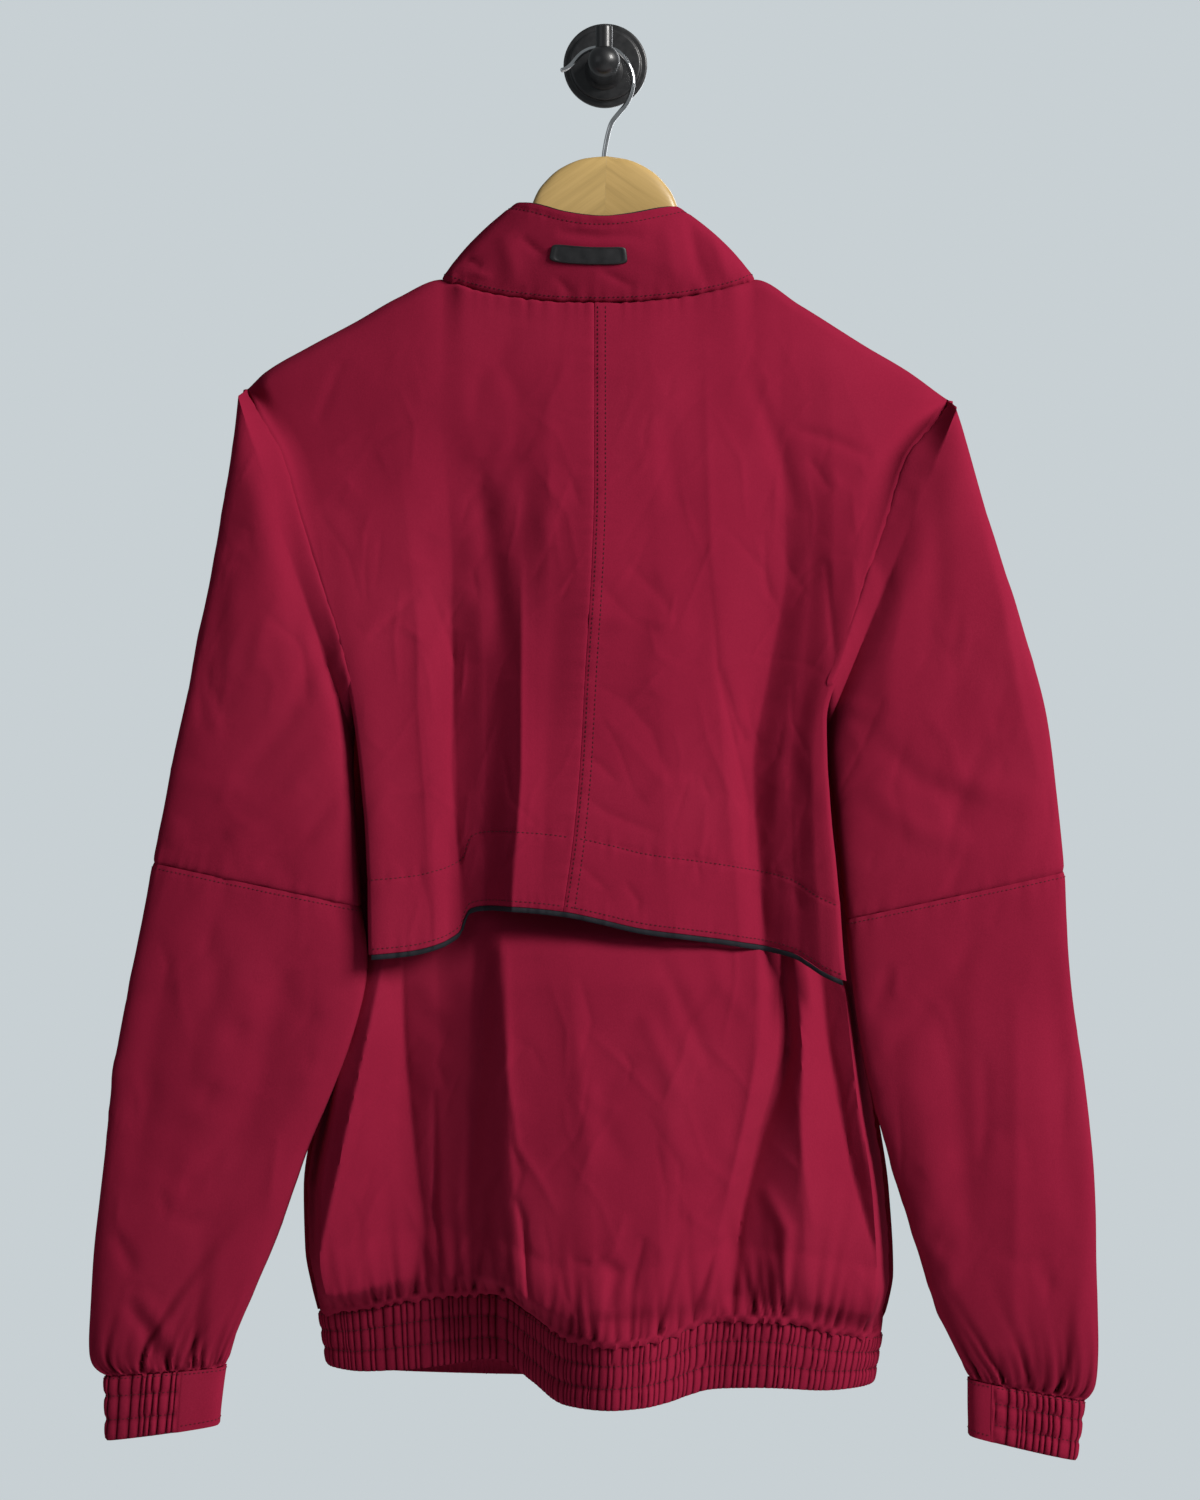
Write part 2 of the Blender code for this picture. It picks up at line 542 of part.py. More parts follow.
def waistband(finish, columns=60):
    """The shirred band round the hem, one strip from the zip round the back to the zip."""
    path = along(BAND, np.linspace(0, len(BAND["x"]) - 1, columns))
    x, y, top, low = path.T
    rows = [np.stack([x, y, top], axis=1), np.stack([x * (1 - BAND_TAPER), y, low], axis=1)]
    shell("waistband", np.array(rows), BAND_WALL, (0, -50, -835), finish)


# ---------------------------------------------------------------- collar


def collar_face(stations, heights):
    """Points of the collar's outer face at row numbers of COLLAR and shares of its height."""
    rows = along(COLLAR, stations)
    neck, top = rows[:, :3], rows[:, 3:]
    face = np.array([neck + (top - neck) * t for t in heights])
    ends = eased(np.minimum(stations, len(COLLAR["neck_x"]) - 1 - stations) / 2)
    bulge = COLLAR_BULGE * 4 * np.array(heights) * (1 - np.array(heights))
    return face - inward(face, COLLAR_AXIS) * bulge[:, None, None] * ends[None, :, None]


def collar(cloth, black):
    """The stand collar: shell, black facing that shows along its top edge, and a bare rubber label."""
    stations = np.linspace(0, len(COLLAR["neck_x"]) - 1, 41)
    shell("collar_shell", collar_face(stations, np.linspace(0, 0.985, 3)), CLOTH, COLLAR_AXIS, cloth)
    facing = collar_face(stations, np.linspace(0.03, 1.0, 3))
    facing += inward(facing, COLLAR_AXIS) * (CLOTH + GAP)
    shell("collar_facing", facing, FACING, COLLAR_AXIS, black)
    label = collar_face(np.linspace(LABEL_FROM, LABEL_TO, 9), np.linspace(LABEL_LOW, LABEL_HIGH, 3))
    label -= inward(label, COLLAR_AXIS) * (LABEL_WALL + GAP + 0.1)
    shell("collar_label", label, LABEL_WALL, COLLAR_AXIS, black)


# ---------------------------------------------------------------- sleeves


def rings(rows, points, count):
    """Closed rings of a sleeve from its table: (count, points, xyz), from the outer point round the back."""
    data = along(rows, np.linspace(0, len(rows["back"]) - 1, count))
    angles = np.arange(points) * 2 * pi / points
    return np.array([ring(row, angles) for row in data])


def ring(row, angles):
    """One closed section of a sleeve or cuff, from its row of the table."""
    outer, inner, back, front_y = row[:3], row[3:6], row[6], row[7]
    cosine, sine = np.cos(angles), np.sin(angles)
    made = (outer + inner) / 2 + (outer - inner) / 2 * cosine[:, None]
    reach = np.where(sine > 0, back, front_y) - made[:, 1]
    made[:, 1] += reach * np.abs(sine) ** np.where(sine > 0, SLEEVE_SQUARE_BACK, SLEEVE_SQUARE_WALL)
    return made


def armhole(side, angles):
    """The sleeve's first ring: the edges of the cape and of the front, a seam's gap away."""
    cape, seam = (CAPE_LEFT, SIDE_LEFT) if side < 0 else (CAPE_RIGHT, SIDE_RIGHT)
    share = (1 - np.cos(angles)) / 2
    top = cape["z"][0]
    z = top + (UNDERARM_Z - top) * share
    behind = np.sin(angles) >= 0
    back_y, front_y = read(cape, "y", z), read(seam, "y", z)
    x = np.where(behind, read(cape, "x", z), read(seam, "x", z)) + side * SEAM_SLEEVE
    y = np.where(behind, back_y, front_y + SEAM_FRONT)
    lowest = int(np.argmax(share))
    y[lowest] = (back_y[lowest] + front_y[lowest]) / 2
    return np.stack([x, y, z], axis=1)


def sleeve(word, side, upper, lower, cloth):
    """A sleeve in two pieces that meet at the elbow seam."""
    angles = np.arange(SLEEVE_POINTS) * 2 * pi / SLEEVE_POINTS
    arm = np.concatenate([armhole(side, angles)[None], rings(upper, SLEEVE_POINTS, 8)])
    shell(f"sleeve_upper_{word}", arm, CLOTH, arm.mean(axis=1, keepdims=True), cloth, around=True)
    forearm = rings(lower, SLEEVE_POINTS, 11)
    shell(f"sleeve_lower_{word}", forearm, CLOTH, forearm.mean(axis=1, keepdims=True), cloth, around=True)


def cuff(word, rows, plain, cloth):
    """A cuff in two pieces: shirred over elastic, and plain at the inner side."""
    data = along(rows, np.arange(3.0))
    middle = (data[:, None, :3] + data[:, None, 3:6]) / 2
    side_seam = pi - plain
    shirred = np.linspace(CUFF_SEAM - side_seam, side_seam - CUFF_SEAM, 15)
    face = np.array([ring(row, shirred) for row in data])
    shell(f"cuff_shirred_{word}", face, BAND_WALL, middle, cloth)
    flat = np.linspace(side_seam + CUFF_SEAM, pi + plain - CUFF_SEAM, 7)
    face = np.array([ring(row, flat) for row in data])
    shell(f"cuff_plain_{word}", face, PLAIN_WALL, middle, cloth)


# ---------------------------------------------------------------- zip


def box(name, low, high, finish, bevel=0.0):
    """A block between two corners, with rounded edges."""
    outline = [(low[0], low[1]), (high[0], low[1]), (high[0], high[1]), (low[0], high[1])]
    ends = [[(x, y, z) for x, y in outline] for z in (low[2], high[2])]
    made = lofted(name, np.array(ends), finish)
    if bevel:
        rounding = made.modifiers.new("rounding", "BEVEL")
        rounding.width = bevel * MM
        rounding.segments = 2
    return made


def zip_pieces(black, metal):
    """Tapes, chain, slider and hinged pull, on the fronts' wallward face."""
    chain_y = TAPE_Y - TAPE_WALL / 2
    half = CHAIN_WIDTH / 2
    near, far = half + GAP, half + GAP + TAPE_WIDTH
    for word, left, right in (("left", -far, -near), ("right", near, far)):
        low = (CENTRE_FRONT + left, TAPE_Y - TAPE_WALL, ZIP_LOW)
        box(f"zip_tape_{word}", low, (CENTRE_FRONT + right, TAPE_Y, ZIP_TOP - 3), black)
    back, face = chain_y - CHAIN_DEPTH / 2, chain_y + CHAIN_DEPTH / 2
    low, high = (CENTRE_FRONT - half, back, ZIP_LOW), (CENTRE_FRONT + half, face, ZIP_TOP)
    box("zip_chain", low, high, metal, bevel=0.7)
    slider(back, face, metal)


def slider(back, face, metal):
    """Two plates round the chain, a post above it, and an arch that holds the pull's crossbar."""
    x, top, low = CENTRE_FRONT, ZIP_TOP + 3.2, ZIP_TOP - 10
    inner = face + GAP
    plate = inner + SLIDER_WALL
    half = SLIDER_HALF
    body = box("zip_slider", (x - half, inner, low), (x + half, plate, top), metal, bevel=0.4)
    pieces = {
        "slider_back": ((x - half - 0.2, back - GAP - 1.4, low + 1), (x + half + 0.2, back - GAP, top)),
        "slider_post": ((x - 1.4, back - 1.5, ZIP_TOP + 0.5), (x + 1.4, plate - 0.5, top - 0.2)),
        "slider_arch": ((x - 1.1, plate - 0.5, PULL_Z - 4.4), (x + 1.1, plate + 3.9, PULL_Z + 4.4)),
    }
    for name, (near, far) in pieces.items():
        cut(body, box(name, near, far, metal), "UNION")
    near, far = (x - 5, plate, PULL_Z - 3.3), (x + 5, plate + 2.8, PULL_Z + 3.3)
    cut(body, box("slider_tunnel", near, far, metal))
    pull(x, plate + 1.4, metal)


def pull(x, y, metal):
    """The pull tab. Its origin is on its hinge's axis, and it hangs straight down."""
    bar = PULL_WALL / 2
    end = PULL_LENGTH - PULL_HALF
    outline = [(PULL_HALF, bar)]
    outline += [(PULL_HALF * cos(a), -end - PULL_HALF * sin(a)) for a in np.linspace(0, pi, 9)]
    outline += [(-PULL_HALF, bar)]
    section = [[(out, deep, high) for out, high in outline] for deep in (-bar, bar)]
    tab = lofted("zip_pull", np.array(section), metal)
    near, far = (-PULL_WINDOW_HALF, -2, -PULL_WINDOW), (PULL_WINDOW_HALF, 2, -bar)
    opening = box("pull_window", near, far, metal)
    opening.parent = tab
    cut(tab, opening)
    tab.location = (x * MM, y * MM, PULL_Z * MM)


# ---------------------------------------------------------------- hanger and wall hook


def wire_hook(metal):
    """The hanger's hook: a round wire from its tip over the arm and down into the bore."""
    path = along(WIRE, np.linspace(0, len(WIRE["x"]) - 1, 46))
    data = bpy.data.curves.new("hanger_hook", "CURVE")
    data.dimensions = "3D"
    spline = data.splines.new("POLY")
    spline.points.add(len(path) - 1)
    for point, (x, z) in zip(spline.points, path):
        point.co = (x * MM, HANGER_Y * MM, z * MM, 1)
    data.bevel_depth = WIRE_RADIUS * MM
    data.bevel_resolution = 2
    data.use_fill_caps = True
    data.materials.append(metal)
    bpy.context.scene.collection.objects.link(bpy.data.objects.new("hanger_hook", data))


def upright(name, middle, levels, finish, sides):
    """A round solid about a vertical line through middle (x, y), from (z, radius) levels."""
    angles = np.arange(sides) * 2 * pi / sides
    rounds = []
    for z, radius in levels:
        x = middle[0] + radius * np.cos(angles)
        y = middle[1] + radius * np.sin(angles)
        rounds.append(np.stack([x, y, np.full(sides, z)], axis=1))
    return lofted(name, np.array(rounds), finish)


def hanger_half(word, side, wood, bore):
    """Half of the hanger: rounded sections from the glued joint out to the shoulder's end."""
    rows = along(HANGER, np.linspace(0, len(HANGER["out"]) - 1, 21))
    angles = np.arange(16) * 2 * pi / 16
    wide = np.sign(np.cos(angles)) * np.abs(np.cos(angles)) ** HANGER_SQUARE
    tall = np.sign(np.sin(angles)) * np.abs(np.sin(angles)) ** HANGER_SQUARE
    sections = []
    for out, top, height, y, depth in rows:
        z = HUMP_TOP + top - height / 2 + tall * height / 2
        sections.append(np.stack([side * out + 0 * z, HANGER_Y + y + wide * depth / 2, z], axis=1))
    half = lofted(f"hanger_{word}", np.array(sections), wood)
    turn = Matrix.Rotation(HANGER_TILT, 4, "Y")
    centre = Matrix.Translation((0, 0, (HUMP_TOP - HUMP_RADIUS) * MM))
    half.data.transform(Matrix.Translation((HANGER_X * MM, 0, 0)) @ centre @ turn @ centre.inverted())
    cut(half, bore)


def hanger(wood, metal):
    """Both wooden halves, the bore on their joint, and the wire hook in it."""
    levels = [(HUMP_TOP + 8, BORE_RADIUS), (HUMP_TOP - BORE_DEPTH, BORE_RADIUS)]
    bore = upright("hook_bore", (HANGER_X, HANGER_Y), levels, metal, 16)
    for word, side in (("left", -1), ("right", 1)):
        hanger_half(word, side, wood, bore)
    wire_hook(metal)


def wall_hook(iron):
    """The round wall plate with its step, and the arm that ends in a ball with an upright peg."""
    plate = [
        (0, PLATE_RADIUS),
        (-PLATE_STEP + 1.2, PLATE_RADIUS),
        (-PLATE_STEP, PLATE_RADIUS - 1.4),
        (-PLATE_STEP, PLATE_STEP_RADIUS + 0.6),
        (-PLATE_STEP - 0.8, PLATE_STEP_RADIUS),
        (-PLATE_DEPTH + 1.2, PLATE_STEP_RADIUS),
        (-PLATE_DEPTH, PLATE_STEP_RADIUS - 1.4),
    ]
    lathed("wall_plate", plate, iron, (0, 0), 40)
    meet = pi / 2 + np.arccos(ARM_RADIUS / BALL_RADIUS)
    turns = np.concatenate([np.linspace(0.06, pi / 2, 8), [(pi / 2 + meet) / 2, meet]])
    ball = [(BALL_Y - BALL_RADIUS * cos(a), BALL_RADIUS * sin(a)) for a in turns]
    arm = [
        (-PLATE_DEPTH - 8, ARM_RADIUS),
        (-PLATE_DEPTH - 3, ARM_RADIUS + 0.9),
        (-PLATE_DEPTH - GAP, ARM_FLARE),
    ]
    body = lathed("hook_arm", ball + arm, iron, (HOOK_X, HOOK_Z), 32)
    levels = [(HOOK_Z, PEG_RADIUS), (PEG_TOP - 0.8, PEG_RADIUS), (PEG_TOP, PEG_RADIUS - 0.9)]
    cut(body, upright("hook_peg", (HOOK_X, BALL_Y), levels, iron, 24), "UNION")


def main():
    for old in list(bpy.data.objects):
        bpy.data.objects.remove(old)
    cloth = material("burgundy microfibre", BURGUNDY, 0.55)
    black = material("black tape", BLACK, 0.6)
    iron = material("black iron", (0.02, 0.02, 0.022), 0.45, 0.3)
    chrome = material("chromed wire", (0.75, 0.75, 0.76), 0.12, 1.0)
    wood = material("pale wood", (0.55, 0.35, 0.19), 0.45)
    left = cape_half("cape_left", -1, cloth)
    right = cape_half("cape_right", 1, cloth)
    cape_binding(left, right, black)
    lower_back(cloth)
    for word, side in (("left", -1), ("right", 1)):
        front(f"front_{word}", side, cloth)
    waistband(cloth)
    collar(cloth, black)
    sleeve("left", -1, UPPER_LEFT, LOWER_LEFT, cloth)
    sleeve("right", 1, UPPER_RIGHT, LOWER_RIGHT, cloth)
    cuff("left", CUFF_LEFT, PLAIN_LEFT, cloth)
    cuff("right", CUFF_RIGHT, PLAIN_RIGHT, cloth)
    zip_pieces(black, chrome)
    hanger(wood, chrome)
    wall_hook(iron)


main()
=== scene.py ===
"""The looks of a burgundy windbreaker that hangs, its back to the viewer, on a wooden hanger and a wall hook.

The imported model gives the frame: +X to the viewer's right, +Z up, the wall is the plane Y = 0 and the
viewer stands at -Y. Each cloth piece repeats the form of its solid from the same few sizes and short
tables, on a finer grid, and adds the folds, creases, gathers and stitches. Sizes here are in millimetres,
meshes in metres.
"""

import logging
from collections.abc import Mapping, Sequence
from dataclasses import dataclass, field
from enum import Enum
from functools import cached_property
from math import acos, cos, pi, radians, sin
from typing import Any

import bpy
import numpy as np
import numpy.typing as npt
from mathutils import Matrix, Vector

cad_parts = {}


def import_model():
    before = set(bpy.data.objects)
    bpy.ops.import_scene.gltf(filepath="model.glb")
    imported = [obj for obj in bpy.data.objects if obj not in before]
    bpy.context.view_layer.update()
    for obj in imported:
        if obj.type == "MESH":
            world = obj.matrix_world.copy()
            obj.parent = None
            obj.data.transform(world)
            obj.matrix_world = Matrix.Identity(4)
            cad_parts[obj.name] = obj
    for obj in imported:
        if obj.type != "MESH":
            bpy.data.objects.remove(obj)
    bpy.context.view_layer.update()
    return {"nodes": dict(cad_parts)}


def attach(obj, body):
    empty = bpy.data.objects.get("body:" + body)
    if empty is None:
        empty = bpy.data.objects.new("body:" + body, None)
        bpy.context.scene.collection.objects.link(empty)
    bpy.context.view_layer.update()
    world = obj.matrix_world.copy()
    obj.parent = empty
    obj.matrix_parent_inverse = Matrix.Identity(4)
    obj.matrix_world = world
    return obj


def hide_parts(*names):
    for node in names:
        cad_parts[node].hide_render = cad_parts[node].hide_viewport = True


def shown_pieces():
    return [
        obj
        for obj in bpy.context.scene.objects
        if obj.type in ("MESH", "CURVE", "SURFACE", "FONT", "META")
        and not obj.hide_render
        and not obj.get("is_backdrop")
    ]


Array = npt.NDArray[np.float64]
Point = tuple[float, float]
Pairs = Sequence[Point]
Triple = tuple[float, float, float]
Object = bpy.types.Object
Line = tuple[Array, Array]  # points and their outward directions
LOG = logging.getLogger("windbreaker")

MM = 0.001
BODY = "windbreaker"
GAP = 0.3  # between pieces at a seam
SHELL = 0.6  # one layer of shell cloth
BAND_WALL = 2.2  # two layers over elastic
PLAIN_WALL = 1.4  # two layers of the cuff's flat part
FACING = 0.9  # the collar's tape

CENTRE_FRONT, FRONT_Y = -5.0, -12.0
FRONT_EDGE = 4.6  # from the zip's middle to the edge of a front
PLACKET, PLACKET_EASE = 16.0, 30.0  # flat cloth beside the zip, and the width over which folds begin
NECK_LEFT, NECK_RIGHT = -106.0, 97.0
UNDERARM_Z = -432.0
HANG, FOLD_START, EDGE_TURN, CAPE_TURN = 40.0, 60.0, 32.0, 15.0
SHOULDER_ROLL, NECK_ROLL, ROLL_DEPTH = 9.0, 1.0, 9.0
SIDE_INSET, SEAM_FRONT = 2.5, 2.8
BAND_GAP, BAND_TAPER, GATHER = 1.0, 0.03, 15.0
BLOUSE, BLOUSE_HEIGHT = 3.2, 44.0
BAND_STAND = 3.2  # from the band's path out to the lower edge of the lower back
TURN_ABOVE, TURN_BELOW = 42.0, 13.0  # over this width the lower back turns in at its sides
SQUARE_BACK, SQUARE_WALL = 0.34, 1.0
PLAIN_LEFT, PLAIN_RIGHT = radians(72), radians(50)
CUFF_SEAM = 0.008  # radians: half of the gap between a cuff's two parts
LOWER_TOP = -437.0


@dataclass(frozen=True)
class Chart:
    """A short table with named columns, read as smooth curves."""

    names: str  # the columns' names, in order
    rows: Sequence[tuple[float, ...]]  # the table's rows

    @cached_property
    def data(self) -> Array:
        """The table as an array."""
        return np.array(self.rows, float)

    def column(self, name: str) -> Array:
        """One column by its name."""
        return self.data[:, self.names.split().index(name)]

    def at(self, name: str, where: Array) -> Array:
        """Reads a column at values of the first column, on a curve that never overshoots its knots.

        A cubic runs between two knots, and its slope at a knot is the harmonic mean of the two rises
        beside it, or nothing where they differ in sign.

        Args:
            name: The column to read.
            where: Values of the first column.

        Returns:
            The column's values there.
        """
        order = np.argsort(self.data[:, 0])
        x, y = self.data[order, 0], self.column(name)[order]
        step = np.diff(x)
        rise = np.diff(y) / step
        product = rise[:-1] * rise[1:]
        mean = 2 * product / np.where(product > 0, rise[:-1] + rise[1:], 1)
        slope = np.concatenate([rise[:1], np.where(product > 0, mean, 0), rise[-1:]])
        where = np.clip(where, x[0], x[-1])
        i = np.clip(np.searchsorted(x, where) - 1, 0, len(step) - 1)
        t = (where - x[i]) / step[i]
        start = (1 + 2 * t) * (1 - t) ** 2 * y[i] + t * (1 - t) ** 2 * step[i] * slope[i]
        return start + t * t * (3 - 2 * t) * y[i + 1] + t * t * (t - 1) * step[i] * slope[i + 1]

    def along(self, at: Array) -> Array:
        """Reads every column at row numbers that may lie between rows, on a Catmull-Rom curve.

        Args:
            at: Row numbers.

        Returns:
            An array of (len(at), columns).
        """
        count = len(self.data)
        i = np.clip(np.floor(at).astype(int), 0, count - 2)
        t = (at - i)[:, None]
        before, after = self.data[np.maximum(i - 1, 0)], self.data[np.minimum(i + 2, count - 1)]
        a, b = self.data[i], self.data[i + 1]
        bend = 2 * before - 5 * a + 4 * b - after
        twist = 3 * a - before - 3 * b + after
        return 0.5 * (2 * a + (b - before) * t + bend * t**2 + twist * t**3)


TOP_EDGE = Chart(
    "x z y roll",
    [(-232, -215, -27, 6), (-221, -204, -27, 9), (-192, -187, -27, 9), (-162, -171, -27, 9),
     (-134, -155, -27, 9), (-106, -143.5, -27, 8), (-91, -149.5, -38.5, 3), (-67, -155.5, -42, 2),
     (-34, -160, -45.5, 2), (-5, -161, -46.5, 2), (24, -160, -45.5, 2), (57, -155.5, -42, 2),
     (82, -149.5, -38.5, 3), (97, -143.5, -27, 8), (126, -160, -27, 9), (169, -187, -27, 9),
     (196, -203, -27, 9), (222, -222, -27, 6)],
)
NECK_FRONT = Chart(
    "x z y",
    [(-106, -144, -26), (-101, -149, -18.5), (-91, -157.5, -16.5), (-67, -170.5, -15),
     (-34, -181.5, -13.2), (-9.6, -185.5, -12), (-0.4, -185.5, -12), (24, -181.5, -13.2),
     (57, -170.5, -15), (82, -157.5, -16.5), (92, -149, -18.5), (97, -144, -26)],
)
CAPE_LEFT = Chart(
    "z x y",
    [(-215, -232, -29.5), (-235, -220, -54), (-259, -206, -66), (-298, -194, -73), (-346, -179, -78),
     (-385, -167, -82), (-430, -158, -85), (-481, -152, -89), (-526, -149, -92), (-580, -147.5, -95)],
)
CAPE_RIGHT = Chart(
    "z x y",
    [(-222, 222, -29.5), (-240, 208, -54), (-262, 191, -66), (-300, 178, -74), (-346, 163, -80),
     (-385, 151, -85), (-430, 138, -88), (-481, 140, -93), (-526, 144, -97), (-595, 149, -101)],
)
BACK_SEAM = Chart(
    "z x",
    [(-143, -7), (-280, -7), (-330, -8.5), (-405, -13), (-460, -16), (-503, -20), (-560, -28)],
)
CAPE_FACE = Chart(
    "z y",
    [(-143, -46), (-200, -60), (-300, -74), (-400, -82), (-480, -88), (-600, -94)],
)
CAPE_HEM = Chart(
    "x z",
    [(-148, -578), (-122, -575.5), (-104, -571), (-96, -567), (-91.5, -563), (-89.5, -555), (-86.5, -549.5),
     (-80, -547.6), (-71, -547), (-57, -547.5),
     (-28, -550.5), (-5, -555), (24, -561.5), (58, -566), (82, -569.5), (119, -577), (137, -588),
     (150, -594)],
)
SIDE_LEFT = Chart(
    "z x y",
    [(-215, -231, -29), (-260, -209, -19), (-340, -186, -17), (-400, -167, -28), (-430, -162, -38),
     (-480, -168, -29), (-580, -178, -22), (-680, -189, -18), (-735, -197, -17), (-775, -196, -17),
     (-800, -191, -21), (-813, -187, -26)],
)
SIDE_RIGHT = Chart(
    "z x y",
    [(-222, 221, -29), (-262, 197, -19), (-340, 172, -17), (-400, 150, -28), (-430, 142, -38),
     (-480, 152, -29), (-580, 165, -22), (-680, 177, -18), (-735, 185, -17), (-790, 188, -17),
     (-810, 184, -22), (-826, 178, -28)],
)
LOWER_FACE = Chart(
    "z y",
    [(-437, -50), (-500, -62), (-560, -74), (-580, -80), (-600, -85), (-680, -88), (-760, -88), (-795, -86),
     (-815, -80)],
)
BAND = Chart(
    "x y top low",
    [(-9.6, -12, -813, -857), (-60, -12, -813, -857), (-130, -13, -813, -855), (-170, -16, -813, -852),
     (-186, -26, -813, -848), (-182, -40, -812, -848), (-162, -50, -809, -849), (-127, -58, -801, -846),
     (-105, -60, -798, -843), (-81, -56, -798, -840), (-67, -53, -800, -842), (-50, -66, -809, -852),
     (-34, -86, -817, -861), (-20, -100, -820, -863), (2, -112, -821, -863), (25, -108, -819, -862),
     (42, -98, -816.5, -860), (56, -88, -811.5, -857), (72, -82, -809, -854.5), (107, -82, -810, -854),
     (142, -74, -818, -857), (164, -60, -823, -858), (177, -44, -826, -858), (179, -28, -826, -858),
     (160, -16, -822, -857), (110, -13, -816, -857), (50, -12, -813, -857), (-0.4, -12, -813, -857)],
)
BAND_BACK = Chart("x y top low", BAND.rows[4:23])  # the rows that run across the back
BAND_FRONT = {-1: Chart("x y top low", BAND.rows[4::-1]), 1: Chart("x y top low", BAND.rows[:21:-1])}
COLLAR = Chart(
    "neck_x neck_y neck_z top_x top_y top_z",
    [(-9.6, -12, -184.6, -9.6, -12, -124), (-34, -13.2, -180.6, -24, -13.2, -121),
     (-67, -15, -169.6, -40, -15.5, -112), (-91, -16.5, -156.6, -51, -18, -103),
     (-102, -18.5, -148, -56, -22, -98), (-106, -28, -142.8, -57.5, -32, -95),
     (-102, -36.5, -144.5, -56, -40, -95), (-91, -39.5, -148.8, -52, -45, -95.5),
     (-67, -43, -154.8, -43, -50, -97.5), (-34, -46, -159.2, -25, -54.5, -103),
     (-5, -47, -160.2, -4, -56, -105.7), (24, -46, -159.2, 15, -54.5, -104),
     (57, -43, -154.8, 33, -50, -100), (82, -39.5, -148.8, 42, -45, -98),
     (93, -36.5, -144.5, 46, -40, -97.5), (97, -28, -142.8, 47, -32, -98),
     (93, -18.5, -148, 45.5, -22, -101), (82, -16.5, -156.6, 41, -18, -105),
     (57, -15, -169.6, 30, -15.5, -113), (24, -13.2, -180.6, 14, -13.2, -121),
     (-0.4, -12, -184.6, -0.4, -12, -124)],
)
COLLAR_BULGE = 3.5
COLLAR_AXIS = np.array((-5.0, -31.0, -135.0))  # a point inside the collar
LABEL_FROM, LABEL_TO = 8.78, 10.76  # along the collar, in rows of COLLAR
LABEL_LOW, LABEL_HIGH = 0.39, 0.59  # share of the collar's height

RING = "outer_x outer_y outer_z inner_x inner_y inner_z back front"
UPPER_LEFT = Chart(
    RING,
    [(-235, -48, -222, -161, -54, -441, -79, -14), (-238, -56, -255, -161, -60, -456, -84, -14),
     (-245, -62, -301, -160.5, -64, -471, -86, -15), (-256.5, -66, -365, -159.5, -67, -488, -87, -16),
     (-266, -68, -413, -158.5, -69, -503, -87, -17), (-275, -69, -455, -157.5, -70, -519, -87, -18),
     (-282, -70, -492, -156.5, -71, -534, -87, -19), (-288, -70, -520, -155.7, -72, -548, -87, -20)],
)
LOWER_LEFT = Chart(
    RING,
    [(-288, -70, -520.4, -155.7, -72, -548.4, -87, -20), (-298, -70, -574, -151.5, -73, -579, -88, -21),
     (-305, -70, -607, -153.5, -73, -604, -88, -22), (-313, -70, -655, -164, -70, -641, -88, -22),
     (-318, -70, -703, -178, -66, -676, -87, -22), (-322, -65.7, -735, -191, -62, -706, -86, -22),
     (-326, -61.1, -767, -207, -58, -752, -84, -22), (-328.5, -56.6, -799, -219, -54, -782, -81, -22),
     (-330.5, -52.4, -828, -231, -50, -810, -76, -24), (-329, -50.4, -842, -239, -50, -830, -70, -29),
     (-322, -50, -849.6, -243.5, -50, -843.6, -66, -34)],
)
CUFF_LEFT = Chart(
    RING,
    [(-322, -50, -850, -243.5, -50, -844, -66, -34), (-321.5, -50, -870, -246, -50, -863, -67, -33),
     (-321, -50, -891, -248, -50, -881, -67.5, -32.5)],
)
UPPER_RIGHT = Chart(
    RING,
    [(224.5, -49.4, -229, 139.5, -54, -439, -79, -14), (232, -56, -258, 141, -60, -452, -84, -14),
     (241, -62, -292, 143, -64, -466, -86, -15), (253, -66, -333, 145, -67, -481, -87, -16),
     (265.5, -68, -373, 147, -69, -499, -87, -17), (279, -69, -421, 149, -70, -518, -87, -18),
     (286, -70, -470, 151, -71, -538, -87, -19), (292, -70, -526, 153, -72, -556, -87, -20)],
)
LOWER_RIGHT = Chart(
    RING,
    [(292, -70, -526.4, 153, -72, -556.4, -87, -20), (294, -70, -574, 156, -73, -590, -88, -21),
     (298, -70, -615, 160, -72, -622, -88, -22), (304, -70, -655, 166, -70, -655, -88, -22),
     (309.5, -70, -703, 175, -67, -690, -87, -22), (312, -65, -740, 184, -64, -722, -86, -22),
     (313, -60, -775, 196, -60, -758, -84, -22), (314.5, -55.3, -808, 208, -56, -795, -81, -22),
     (315.5, -51.3, -836, 220, -52, -824, -76, -24), (314, -50, -856, 229, -50, -841, -70, -29),
     (308.5, -50, -865.6, 233, -50, -851.6, -66, -34)],
)
CUFF_RIGHT = Chart(
    RING,
    [(308.5, -50, -866, 233, -50, -852, -66, -34), (306, -50, -885, 233, -50, -870, -67, -33),
     (303, -50, -904, 233.5, -50, -888, -67.5, -32.5)],
)
WIRE = Chart(
    "x z",
    [(-28, -7.5), (-25, -6.4), (-21.5, -3.4), (-17.8, 1), (-14, 4.2), (-8.7, 6.4), (-0.9, 7.2), (7.2, 5),
     (12.8, -0.6), (16.6, -7.5), (17.9, -14.5), (17, -21.7), (14, -28.9), (8.8, -35.4), (4.3, -41.2),
     (2, -47.7), (0.2, -56), (-0.9, -64), (-0.9, -74)],
)
